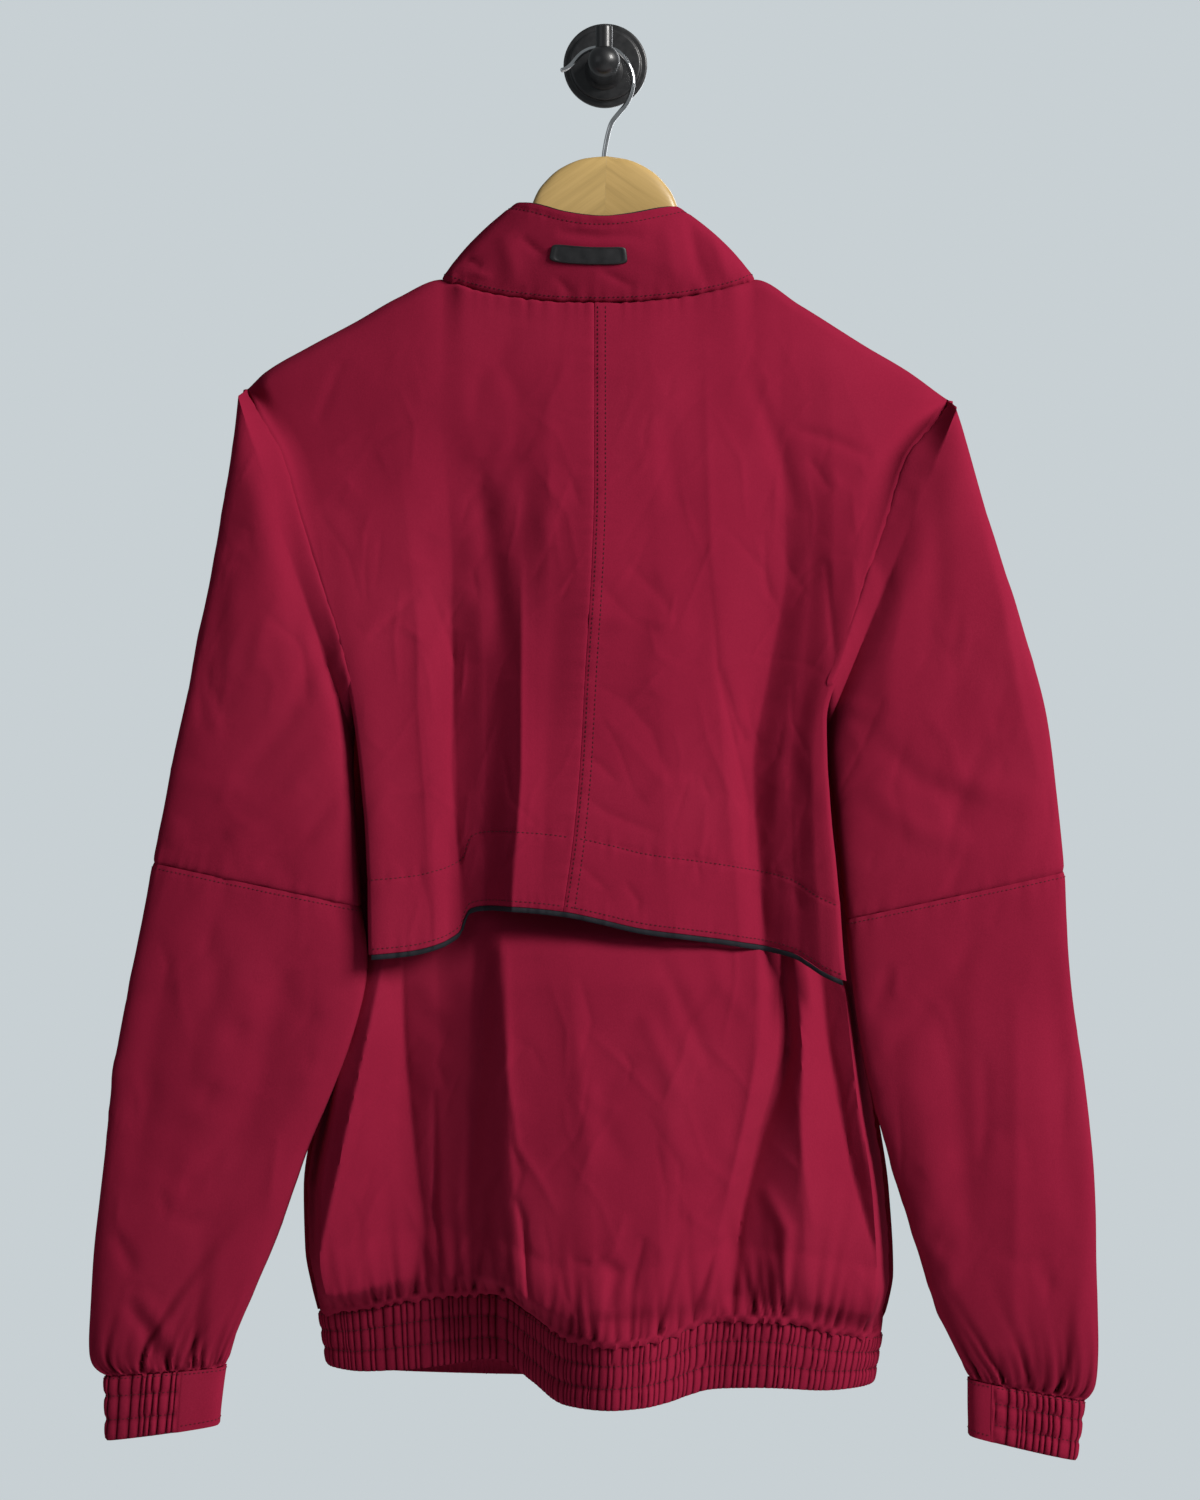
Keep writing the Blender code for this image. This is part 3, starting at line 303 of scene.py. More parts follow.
HANGER = Chart(
    "out top height y depth",
    [(0.02, 0, 50, 0, 12), (16, -2.4, 49, 0, 12), (30, -9.1, 45, 0, 12), (39, -17.5, 40, 0, 12),
     (44.5, -25.5, 38, 0, 12), (50, -40, 29, 0, 12), (57, -57, 26, 0, 12), (76, -68, 28, 0, 12),
     (100, -86.5, 31, 0, 11.6), (130, -100, 30, 0, 11.2), (160, -117, 28, 0.4, 10.8),
     (187, -132.5, 26, 0.8, 10.2), (202, -143, 22, 1, 9.4), (209, -150.5, 13, 1, 8)],
)


# ---- how cloth folds


@dataclass(frozen=True)
class Folds:
    """Crests and valleys that run down a cloth, side by side, with the cloth stretched between them."""

    levels: Sequence[float]  # heights z at which each line is placed, from the top down
    # each line's (x, out) at those heights, from left to right; out is toward the viewer
    lines: Mapping[str, Pairs]
    crisp: float = 0.5  # 0 for rounded crests and valleys, 1 for straight flanks that meet at an edge

    def out(self, x: Array, z: Array) -> Array:
        """How far the folds bring the cloth out.

        Between two lines the height runs from one's to the other's, partly straight and partly as
        t*t*(3 - 2t), where t is the share of the way across.

        Args:
            x: Places across the cloth.
            z: Their heights.

        Returns:
            Millimetres toward the viewer.
        """
        tables = [[(level, *pair) for level, pair in zip(self.levels, line)] for line in self.lines.values()]
        charts = [Chart("z x out", table) for table in tables]
        places = [chart.at("x", z) for chart in charts]
        heights = [chart.at("out", z) for chart in charts]
        made = heights[0].copy()
        for k in range(len(charts) - 1):
            t = np.clip((x - places[k]) / np.maximum(places[k + 1] - places[k], 1), 0, 1)
            share = self.crisp * t + (1 - self.crisp) * t * t * (3 - 2 * t)
            made += (heights[k + 1] - heights[k]) * share
        return made


class Profile(Enum):
    """The section of a crease across its line."""

    SOFT = "soft"  # a rounded hollow or ridge
    SHARP = "sharp"  # a pressed, pointed line


@dataclass(frozen=True)
class Crease:
    """A local crease, deepest between its two ends."""

    path: Pairs  # its line, as (x, z) points
    out: float  # height at its deepest, above 0 for a ridge and below 0 for a trough
    reach: float  # how far it works to each side
    profile: Profile  # its section

    def section(self, away: Array) -> Array:
        """Its height across the line: exp(-d*d) for a soft crease, close to exp(-|d|) for a sharp one."""
        squared = (away / self.reach) ** 2
        return np.exp(-squared if self.profile is Profile.SOFT else 0.14 - np.sqrt(squared + 0.02))


def soft(out: float, reach: float, *path: Point) -> Crease:
    """A soft crease along a path."""
    return Crease(path, out, reach, Profile.SOFT)


def sharp(out: float, reach: float, *path: Point) -> Crease:
    """A sharp crease along a path."""
    return Crease(path, out, reach, Profile.SHARP)


def pressed(x: Array, z: Array, creases: Sequence[Crease]) -> Array:
    """How far a list of creases brings the cloth out.

    Each point takes the nearest stretch of a crease's line. The height fades to nothing at both ends
    of the line as the square root of sin(pi*s), where s is the share of the line's length.

    Args:
        x: Places across the cloth.
        z: Their heights.
        creases: The creases.

    Returns:
        Millimetres toward the viewer.
    """
    made = np.zeros_like(x)
    for crease in creases:
        path = np.array(crease.path, float)
        low, high = path.min(axis=0) - 3 * crease.reach, path.max(axis=0) + 3 * crease.reach
        near = (x > low[0]) & (x < high[0]) & (z > low[1]) & (z < high[1])
        if not near.any():
            continue
        px, pz = x[near], z[near]
        spans = np.diff(path, axis=0)
        lengths = np.maximum(np.linalg.norm(spans, axis=1), 1e-6)
        starts = np.concatenate([[0], np.cumsum(lengths)[:-1]])
        best, share = np.full(px.shape, np.inf), np.zeros_like(px)
        for start, span, length, done in zip(path[:-1], spans, lengths, starts):
            dx, dz = px - start[0], pz - start[1]
            t = np.clip((dx * span[0] + dz * span[1]) / length**2, 0, 1)
            away = np.hypot(dx - span[0] * t, dz - span[1] * t)
            closer = away < best
            best = np.where(closer, away, best)
            share = np.where(closer, (done + t * length) / lengths.sum(), share)
        fade = np.sqrt(np.sin(pi * np.clip(share, 0.0, 1.0)).clip(0, 1))
        made[near] += crease.out * fade * crease.section(best)
    return made


def rumples(seed: int, low: Point, high: Point, count: int, lean: float) -> list[Crease]:
    """Small uneven creases of handling, scattered over a box.

    Args:
        seed: Seed of the draws.
        low: Lowest (x, z).
        high: Highest (x, z).
        count: How many.
        lean: Their mean angle from level, in radians.

    Returns:
        The creases.
    """
    draw = np.random.default_rng(seed)
    made = []
    for _ in range(count):
        x, z = draw.uniform(low[0], high[0]), draw.uniform(low[1], high[1])
        angle, length = lean + draw.normal(0, 0.55), draw.uniform(16, 80)
        bend = draw.normal(0, 0.12) * length
        dx, dz = cos(angle) * length / 2, sin(angle) * length / 2
        path = ((x - dx, z - dz), (x - sin(angle) * bend, z + cos(angle) * bend), (x + dx, z + dz))
        profile = Profile.SHARP if draw.random() < 0.6 else Profile.SOFT
        highest, reaches = (0.75, (1.2, 2.6)) if profile is Profile.SHARP else (1.2, (5.0, 10.0))
        out = draw.choice((-1, 1)) * draw.uniform(0.3, highest)
        made.append(Crease(path, out, draw.uniform(*reaches), profile))
    return made


@dataclass(frozen=True)
class Gathers:
    """Short tucks that a gathered seam sends into the cloth above it."""

    # (place along the seam, length upward, depth, lean) of the listed ones
    tucks: Sequence[tuple[float, ...]]
    seed: int  # seed of the small ones between them
    span: tuple[float, float]  # (first, last) place of the small ones
    count: int  # how many small ones

    def out(self, place: Array, above: Array) -> Array:
        """How far the tucks bring the cloth out.

        A tuck is a narrow groove beside a low ridge, and it fades as exp(-above / length).

        Args:
            place: Places along the seam.
            above: Heights above the seam.

        Returns:
            Millimetres toward the viewer.
        """
        draw = np.random.default_rng(self.seed)
        steps = draw.uniform(0.5, 1.5, self.count)
        at = self.span[0] + (self.span[1] - self.span[0]) * np.cumsum(steps) / steps.sum()
        small = [(a, draw.uniform(7, 34), draw.uniform(0.9, 2.4), draw.normal(0, 0.12)) for a in at]
        made = np.zeros_like(place)
        for at_seam, length, depth, lean in [*self.tucks, *small]:
            d = place - at_seam - lean * above
            width = 1.3 + 0.045 * above
            fade = np.exp(-above / length) * np.clip(above / 1.2, 0, 1)
            ridge = 0.16 * np.exp(-(((d - 2.6) / (1.7 * width)) ** 2))
            made += depth * fade * (ridge - np.exp(-((d / width) ** 2)))
        return made


def shirring(
    seed: int, length: float, pitch: float, rows: int, along: Array, down: Array, slant: float = 0.0
) -> tuple[Array, Array]:
    """Height of cloth that is stitched down on elastic in level rows.

    The cloth stands in flat-topped ribs with narrow slits between them. A rib is sin(pi*u)**0.27 across
    it, u from slit to slit, times a swell that is 0.3 at a row of stitches and 1 between two rows, as
    sin(pi*v)**0.4. The slits of two rows nearly meet.

    Args:
        seed: Seed of the slits' places.
        length: The band's length.
        pitch: Mean distance between slits.
        rows: How many rows of ribs.
        along: Places along the band.
        down: Share of its height, 0 at the top.
        slant: How far the slits lean along the band over its height.

    Returns:
        Height, from 0 in a slit to 1 on a rib, and how near each point lies to a slit, 0 to 1, a little more
        at the rows of stitches, used as a mask of painted shade.
    """
    draw = np.random.default_rng(seed)
    steps = pitch * draw.uniform(0.5, 1.5, int(length / pitch) + 12)
    slits = np.cumsum(steps) - 4 * pitch
    made, near = np.zeros_like(along), np.zeros_like(along)
    here = along + slant * down
    for row in range(rows):
        places = np.sort(slits + draw.normal(0, 0.1 * pitch, len(slits)))
        k = np.clip(np.searchsorted(places, here) - 1, 0, len(places) - 2)
        u = np.clip((here - places[k]) / np.maximum(places[k + 1] - places[k], 0.3), 0, 1)
        across = np.sin(pi * u).clip(0, 1)
        part = np.clip(down * rows - row, 0, 1)
        inside = (down * rows >= row) & (down * rows < row + 1 + (row == rows - 1))
        swell = 0.3 + 0.7 * np.sin(pi * part).clip(0, 1) ** 0.4
        made = np.where(inside, across**0.27 * swell, made)
        # Mask of painted shade: high near the slits, and a little higher at the rows of stitches.
        near = np.where(inside, 1.3 - 1.5 * np.sqrt(across) + 0.25 * (swell < 0.5), near)
    return made, near.clip(0, 1)


def eased(t: Array) -> Array:
    """0 to 1 with a soft start and end."""
    t = np.clip(t, 0, 1)
    return t * t * (3 - 2 * t)


def turned(distance: Array, turn: Any, power: float = 2.0) -> Array:
    """0 at a side edge to 1 where the cloth faces straight out: 1 - (1 - d/turn)**power."""
    return 1 - (1 - np.clip(distance / turn, 0, 1)) ** power


def rolled(below: Array, radius: Array) -> Array:
    """How far cloth has come out this far below a rounded edge: the chord of a circle of that radius."""
    down = np.minimum(below, radius)
    return np.sqrt(np.maximum(radius**2 - (radius - down) ** 2, 0))


def hanging(top_z: Array, low_z: Array, rows: int) -> Array:
    """Depths below a piece's top edge, close together where it turns over, then evenly down to low_z.

    Args:
        top_z: Height of the top edge at each column.
        low_z: Height of the lower edge at each column.
        rows: Rows below the turn.

    Returns:
        An array of (rows + 8, columns).
    """
    roll = np.linspace(0, 1, 9)[:, None] ** 1.5 * ROLL_DEPTH + 0 * top_z
    below = ROLL_DEPTH + (top_z - low_z - ROLL_DEPTH) * np.linspace(0, 1, rows)[1:, None]
    return np.concatenate([roll, below])


def wander(at: Array, pitch: float, seed: int) -> Array:
    """A smooth uneven line between -1 and 1: a random height every pitch, joined as t*t*(3 - 2t).

    Args:
        at: Places along the line.
        pitch: Distance between the random heights.
        seed: Seed of the heights.

    Returns:
        The line's height at each place.
    """
    count = 4096  # after which the line repeats
    heights = np.random.default_rng(seed).uniform(-1, 1, count)
    i = np.floor(at / pitch).astype(int)
    t = at / pitch - i
    t = t * t * (3 - 2 * t)
    return heights[i % count] * (1 - t) + heights[(i + 1) % count] * t


def sewn(distance: Array, along: Array, seed: int, depth: float = 0.9, pucker: float = 0.45) -> Array:
    """Height of cloth beside a sewn edge: a groove exp(-d/1.4), and fine puckers that fade as exp(-d/7)."""
    fine = wander(along, 3.4, seed) + 0.5 * wander(along, 1.9, seed + 1)
    return -depth * np.exp(-distance / 1.4) + pucker * np.exp(-distance / 7) * fine


# ---- meshes


@dataclass(frozen=True)
class Grid:
    """A cloth face as rows and columns of points, in millimetres."""

    points: Array  # the points, (rows, columns, xyz)
    inside: Array  # a point, or one for each row, on the side where the garment's inside lies
    around: bool = False  # whether the last column meets the first

    @cached_property
    def normal(self) -> Array:
        """Unit vectors across the face, as across x down."""
        if self.around:
            across = np.roll(self.points, -1, axis=1) - np.roll(self.points, 1, axis=1)
        else:
            across = np.gradient(self.points, axis=1)
        normal = np.cross(across, np.gradient(self.points, axis=0))
        return normal / np.maximum(np.linalg.norm(normal, axis=2, keepdims=True), 1e-9)

    @cached_property
    def facing_in(self) -> bool:
        """Whether the normals point to the garment's inside."""
        return bool(np.sum(self.normal * (self.inside - self.points)) > 0)

    @cached_property
    def outward(self) -> Array:
        """Unit vectors away from the garment's inside."""
        return -self.normal if self.facing_in else self.normal

    @cached_property
    def run(self) -> Array:
        """Distance along each row from its first point."""
        steps = np.linalg.norm(np.diff(self.points, axis=1), axis=2)
        return np.concatenate([np.zeros((len(steps), 1)), np.cumsum(steps, axis=1)], axis=1)

    @cached_property
    def drop(self) -> Array:
        """Distance down each column from its first point."""
        steps = np.linalg.norm(np.diff(self.points, axis=0), axis=2)
        return np.concatenate([np.zeros((1, steps.shape[1])), np.cumsum(steps, axis=0)])

    def moved(self, out: Array) -> "Grid":
        """The face with each point moved outward by out."""
        return Grid(self.points + self.outward * out[..., None], self.inside, self.around)

    def tucked(self, axis: int, end: int, by: float = 2.2, sink: float = 1.4) -> "Grid":
        """The face with one more row or column beyond an end, which dives under the neighbouring piece.

        Args:
            axis: 0 for a row, 1 for a column.
            end: 0 for the first, -1 for the last.
            by: How far it goes on past the edge.
            sink: How far it goes inward.

        Returns:
            The longer face.
        """
        edge, near = self.points.take(end, axis), self.points.take(1 if end == 0 else -2, axis)
        ahead = (edge - near) / np.maximum(np.linalg.norm(edge - near, axis=1, keepdims=True), 1e-6)
        added = np.expand_dims(edge + ahead * by - self.outward.take(end, axis) * sink, axis)
        parts = [added, self.points] if end == 0 else [self.points, added]
        inside = self.inside
        if inside.ndim == 3 and axis == 0:
            inside = np.concatenate([inside[:1], inside] if end == 0 else [inside, inside[-1:]])
        return Grid(np.concatenate(parts, axis=axis), inside, self.around)

    def at(self, row: Array, column: Array) -> Line:
        """Points and outward directions between the grid's points, from the four around each.

        Args:
            row: Row numbers.
            column: Column numbers.

        Returns:
            The points and the directions.
        """
        rows, columns = self.points.shape[:2]
        r = np.clip(np.floor(row).astype(int), 0, rows - 2)
        c = np.floor(column).astype(int)
        c = c if self.around else np.clip(c, 0, columns - 2)
        u, v = (row - r)[:, None], (column - c)[:, None]
        found = []
        for data in (self.points, self.outward):
            upper = data[r, c % columns] * (1 - v) + data[r, (c + 1) % columns] * v
            lower = data[r + 1, c % columns] * (1 - v) + data[r + 1, (c + 1) % columns] * v
            found.append(upper * (1 - u) + lower * u)
        return found[0], found[1]

    def below_top(self, column: Array, distance: float) -> Line:
        """The points and directions at a distance below the top edge, at given columns."""
        drops = self.drop.T[column.astype(int) % self.drop.shape[1]]
        return self.at(np.array([np.interp(distance, drop, np.arange(len(drop))) for drop in drops]), column)

    def above_end(self, column: Array, distance: float) -> Line:
        """The points and directions at a distance above the lower edge, at given columns."""
        drops = self.drop.T[column.astype(int) % self.drop.shape[1]]
        rows = [np.interp(drop[-1] - distance, drop, np.arange(len(drop))) for drop in drops]
        return self.at(np.array(rows), column)

    def before_side(self, row: Array, distance: float) -> Line:
        """The points and directions at a distance before the last column, at given rows."""
        runs = self.run[row.astype(int)]
        columns = [np.interp(-distance, run - run[-1], np.arange(len(run))) for run in runs]
        return self.at(row, np.array(columns))


def mesh_of(
    name: str,
    points: Array,
    corners: Array,
    uv: Array | None = None,
    smooth: float = 1.05,
    caps: Sequence[Array] = (),
) -> Object:
    """An object of quads, shaded smooth between its sharp edges.

    Args:
        name: The object's name.
        points: Vertices in millimetres.
        corners: Quads, (faces, 4).
        uv: A UV pair for each corner, in metres.
        smooth: Edges sharper than this stay sharp, in radians.
        caps: Faces with more corners.

    Returns:
        The object, at the origin.
    """
    mesh = bpy.data.meshes.new(name)
    mesh.vertices.add(len(points))
    mesh.vertices.foreach_set("co", (points * MM).astype(np.float32).ravel())
    order = np.concatenate([corners.ravel(), *caps])
    sizes = np.array([4] * len(corners) + [len(cap) for cap in caps])
    mesh.loops.add(len(order))
    mesh.loops.foreach_set("vertex_index", order.astype(np.int32))
    mesh.polygons.add(len(sizes))
    mesh.polygons.foreach_set("loop_start", (np.cumsum(sizes) - sizes).astype(np.int32))
    mesh.update(calc_edges=True)
    if uv is not None:
        layer = mesh.uv_layers.new(name="cut")
        layer.data.foreach_set("uv", uv.astype(np.float32).ravel())
    mesh.validate()
    mesh.shade_smooth()
    mesh.set_sharp_from_angle(angle=smooth)
    made = bpy.data.objects.new(name, mesh)
    bpy.context.scene.collection.objects.link(made)
    return made


def cells(rows: int, columns: int, around: bool) -> tuple[Array, Array]:
    """Row and column numbers of each grid cell's four corners, (cells, 4) each."""
    r, c = np.meshgrid(np.arange(rows - 1), np.arange(columns if around else columns - 1), indexing="ij")
    r, c = r.reshape(-1, 1), c.reshape(-1, 1)
    return np.hstack([r, r, r + 1, r + 1]), np.hstack([c, c + 1, c + 1, c])


def shell(name: str, grid: Grid, wall: float, hollow: Array | None = None) -> Object:
    """Cloth: the outer face, an inner face one wall in, and the rims between them.

    The UV map holds each point's distance along its row and down its column, in metres.

    Args:
        name: The object's name.
        grid: The outer face.
        wall: The cloth's thickness.
        hollow: How deep in a slit each point of the outer face lies, 0 to 1, kept for the finish as the mask
            of its painted shade.

    Returns:
        The closed object.
    """
    rows, columns = grid.points.shape[:2]
    total = rows * columns
    r, c = cells(rows, columns, grid.around)
    outer = r * columns + c % columns
    c0 = np.arange(columns if grid.around else columns - 1)
    c1 = (c0 + 1) % columns
    last = (rows - 1) * columns
    top = np.stack([c1, c0, c0 + total, c1 + total], axis=1)
    low = np.stack([c0, c1, c1 + total, c0 + total], axis=1) + last
    rims = [top, low]
    if not grid.around:
        r0 = np.arange(rows - 1) * columns
        r1 = r0 + columns
        e = columns - 1
        rims.append(np.stack([r0, r1, r1 + total, r0 + total], axis=1))
        rims.append(np.stack([r1 + e, r0 + e, r0 + e + total, r1 + e + total], axis=1))
    faces = np.concatenate([outer, outer[:, ::-1] + total, *rims])
    run = grid.run.mean(axis=0)
    closing = run[-1] + float(np.linalg.norm(grid.points[:, 0] - grid.points[:, -1], axis=1).mean())
    across, down = np.append(run, closing), grid.drop.mean(axis=1)
    uv = np.stack([across[c], down[r]], axis=2)
    rim_uv = np.zeros((sum(map(len, rims)), 4, 2))
    uv = np.concatenate([uv, uv[:, ::-1], rim_uv]) * MM
    if grid.facing_in:
        faces, uv = faces[:, ::-1], uv[:, ::-1]
    inner = grid.points - grid.outward * wall
    made = mesh_of(name, np.concatenate([grid.points.reshape(-1, 3), inner.reshape(-1, 3)]), faces, uv)
    # The hollow attribute is the mask of the cloth finish's painted shade.
    depth = np.zeros(2 * total, np.float32)
    if hollow is not None:
        depth[:total] = np.clip(hollow, 0, 1).ravel()
    made.data.attributes.new("hollow", "FLOAT", "POINT").data.foreach_set("value", depth)
    return made


def circle(count: int) -> Array:
    """Even angles round a full turn."""
    return np.arange(count) * 2 * pi / count


def powered(values: Array, power: float) -> Array:
    """A power of each value's size, with the value's own sign."""
    return np.sign(values) * np.abs(values) ** power


def lofted(name: str, sections: Array, smooth: float = 0.9) -> Object:
    """A solid through closed sections, with a flat cap at each end.

    Args:
        name: The object's name.
        sections: (sections, points, xyz) in millimetres.
        smooth: Edges sharper than this stay sharp.

    Returns:
        The closed object.
    """
    count, points = sections.shape[:2]
    r, c = cells(count, points, True)
    faces = r * points + c % points
    first = np.arange(points)
    caps = [first[::-1], first + (count - 1) * points]
    quads = sections.reshape(-1, 3)[faces]
    normals = np.cross(quads[:, 2] - quads[:, 0], quads[:, 3] - quads[:, 1])
    if np.sum(normals * (quads.mean(axis=1) - sections.mean(axis=1)[r[:, 0]])) < 0:
        faces = faces[:, ::-1]
        caps = [cap[::-1] for cap in caps]
    return mesh_of(name, sections.reshape(-1, 3), faces, None, smooth, caps)


@dataclass(frozen=True)
class Stitching:
    """Rows of stitches that lie on the cloth."""

    pitch: float = 3.0  # distance from one stitch to the next
    length: float = 2.3  # length of a stitch
    radius: float = 0.28  # radius of the thread

    def build(self, name: str, lines: Sequence[Line]) -> Object:
        """Lays stitches along lines of points.

        Each stitch is a thread with four sides that rises from the cloth and dives back in: its middle
        line stands radius * sin(pi*s) off the cloth, s the share of its length.

        Args:
            name: The object's name.
            lines: For each row of stitches its points and their outward directions.

        Returns:
            The object.
        """
        stations = np.linspace(-0.5, 0.5, 4)
        lift = np.array([-0.9, 0.7, 0.7, -0.9]) * self.radius
        thick = np.array([0.55, 1.0, 1.0, 0.55]) * self.radius
        angles = np.arange(4) * pi / 2 + pi / 4
        points = []
        for line, outward in lines:
            steps = np.linalg.norm(np.diff(line, axis=0), axis=1)
            run = np.concatenate([[0], np.cumsum(steps)])
            middles = np.arange(self.pitch / 2, run[-1] - self.pitch / 2, self.pitch)
            where = middles[:, None] + stations * self.length
            centre = np.stack([np.interp(where, run, line[:, k]) for k in range(3)], axis=-1)
            up = np.stack([np.interp(middles, run, outward[:, k]) for k in range(3)], axis=-1)
            up /= np.linalg.norm(up, axis=1, keepdims=True)
            ahead = centre[:, -1] - centre[:, 0]
            ahead /= np.linalg.norm(ahead, axis=1, keepdims=True)
            side = np.cross(ahead, up)
            up, side = up[:, None, None], side[:, None, None]
            out = lift[:, None] + thick[:, None] * np.sin(angles)
            wide = thick[:, None] * np.cos(angles)
            ring = centre[:, :, None] + up * out[None, :, :, None] + side * wide[None, :, :, None]
            points.append(ring.reshape(-1, 3))
        every = np.concatenate(points)
        count = len(every) // 16
        r, c = cells(4, 4, True)
        body = r * 4 + c % 4
        caps = np.array([[3, 2, 1, 0], [12, 13, 14, 15]])
        one = np.concatenate([body, caps])
        faces = (one[None] + np.arange(count)[:, None, None] * 16).reshape(-1, 4)
        return mesh_of(name, every, faces)


# ---- finishes


class Nodes:
    """A material's node tree, with short calls that add and link its nodes."""

    def __init__(self, name: str) -> None:
        """Makes an empty material.

        Args:
            name: The material's name.
        """
        self.material = bpy.data.materials.new(name)
        self.material.use_nodes = True
        self.tree = self.material.node_tree
        self.shader = self.tree.nodes["Principled BSDF"]

    def add(self, kind: str, values: Mapping[Any, Any], **settings: Any) -> Any:
        """Adds a node.

        Args:
            kind: The node's type.
            values: For each input a number, a tuple or a socket to link.
            **settings: The node's own settings.

        Returns:
            The node.
        """
        node = self.tree.nodes.new(kind)
        for name, value in settings.items():
            setattr(node, name, value)
        self.feed(node, values)
        return node

    def feed(self, node: Any, values: Mapping[Any, Any]) -> None:
        """Sets or links a node's inputs."""
        for key, value in values.items():
            if isinstance(value, bpy.types.NodeSocket):
                self.tree.links.new(value, node.inputs[key])
            else:
                node.inputs[key].default_value = value

    def place(self, cut: bool = False) -> Any:
        """Object coordinates in metres, or the piece's own UV map."""
        return self.add("ShaderNodeTexCoord", {}).outputs["UV" if cut else "Object"]

    def sum(self, first: Any, second: Any, operation: str = "ADD") -> Any:
        """A sum, or another operation, of two numbers."""
        return self.add("ShaderNodeMath", {0: first, 1: second}, operation=operation).outputs[0]

    def scaled(self, value: Any, factor: float, plus: Any) -> Any:
        """A value times a factor, plus a number or another value."""
        return self.sum(self.sum(value, factor, "MULTIPLY"), plus)

    def noise(self, place: Any, scale: float, detail: float = 2.0, stretch: Triple = (1, 1, 1)) -> Any:
        """Noise between about 0 and 1, scale lumps to a metre, stretched along each axis."""
        mapped = self.add("ShaderNodeMapping", {"Vector": place, "Scale": tuple(scale * s for s in stretch)})
        values = {"Vector": mapped.outputs[0], "Scale": 1.0, "Detail": detail}
        return self.add("ShaderNodeTexNoise", values).outputs[0]

    def ramp(self, value: Any, stops: Sequence[tuple[float, Triple]]) -> Any:
        """Colours at given values, blended between them."""
        node = self.add("ShaderNodeValToRGB", {0: value})
        elements = node.color_ramp.elements
        elements[0].position, elements[1].position = stops[0][0], stops[-1][0]
        elements[0].color, elements[1].color = (*stops[0][1], 1), (*stops[-1][1], 1)
        for position, colour in stops[1:-1]:
            elements.new(position).color = (*colour, 1)
        return node.outputs[0]

    def bump(self, height: Any, distance: float, strength: float = 1.0, onto: Any = None) -> Any:
        """A bumped normal from a height between 0 and 1, distance metres deep."""
        values = {"Height": height, "Distance": distance, "Strength": strength}
        if onto is not None:
            values["Normal"] = onto
        return self.add("ShaderNodeBump", values).outputs[0]


@dataclass(frozen=True)
class Finish:
    """A finish with a plain base."""

    slot: str  # name of a material slot
    label: str  # the material's name
    colour: Triple  # linear base colour
    roughness: float  # mean roughness

    @cached_property
    def material(self) -> bpy.types.Material:
        """The material, made when it is first needed."""
        nodes = Nodes(self.label)
        nodes.feed(nodes.shader, {"Base Color": (*self.colour, 1), "Roughness": self.roughness})
        nodes.feed(nodes.shader, self.detail(nodes))
        return nodes.material

    def shade(self, factor: float, lift: float = 0.0) -> Triple:
        """The colour times factor plus lift."""
        r, g, b = self.colour
        return (r * factor + lift, g * factor + lift, b * factor + lift)

    def detail(self, nodes: Nodes) -> Mapping[str, Any]:
        """Adds the finish's own texture, and returns the shader's inputs."""
        return {}


@dataclass(frozen=True)
class Microfibre(Finish):
    """Fine woven polyester with a matt peach-skin face: no gloss, faint crumples, a fine weave, and painted
    shade in the slits of its gathers and shirring.
    """

    thread: float = 0.00042  # metres from one thread to the next
    waves: float = 1 / (2 * pi) * 3.14  # waves of the weave's texture to a thread
    sheen: float = 0.03  # weight of the sheen

    def detail(self, nodes: Nodes) -> Mapping[str, Any]:
        """Colour that varies a little, painted shade in slits and tucks, sheen, weave, grain and crumples."""
        place, cut = nodes.place(), nodes.place(cut=True)
        large = nodes.noise(place, 9, 3)
        small = nodes.noise(place, 900, 2)
        mixed = nodes.scaled(large, 0.7, nodes.sum(small, 0.3, "MULTIPLY"))
        stops = [(0.3, self.shade(0.88)), (0.5, self.colour), (0.7, self.shade(1.1, 0.002))]
        colour = nodes.ramp(mixed, stops)
        # Painted shade: where the hollow attribute marks slits and tucks, the colour is darkened toward 0.12
        # of itself.
        painted_slit_shade = nodes.add("ShaderNodeAttribute", {}, attribute_name="hollow").outputs["Fac"]
        values = {0: painted_slit_shade, 6: colour, 7: (*self.shade(0.12), 1)}
        colour = nodes.add("ShaderNodeMix", values, data_type="RGBA").outputs[2]
        wide = nodes.add("ShaderNodeMapping", {"Vector": cut, "Scale": (1 / self.thread,) * 3})
        waves = []
        for turn in ("X", "Y"):
            values = {"Vector": wide.outputs[0], "Scale": self.waves, "Distortion": 0.6, "Detail": 1.0}
            waves.append(nodes.add("ShaderNodeTexWave", values, bands_direction=turn).outputs["Fac"])
        weave = nodes.sum(*waves, "MULTIPLY")
        crumple = nodes.noise(place, 60, 2, (1, 1, 0.55))
        normal = nodes.bump(crumple, 0.0007, 0.3)
        normal = nodes.bump(small, 0.00012, 0.6, normal)
        normal = nodes.bump(weave, 0.00006, 0.5, normal)
        rough = nodes.scaled(large, 0.16, self.roughness - 0.08)
        sheen = {"Sheen Weight": self.sheen, "Sheen Roughness": 0.5, "Sheen Tint": (1.0, 0.25, 0.42, 1)}
        plain = {"Base Color": colour, "Roughness": rough, "Normal": normal, "Specular IOR Level": 0.0}
        return {**plain, **sheen}


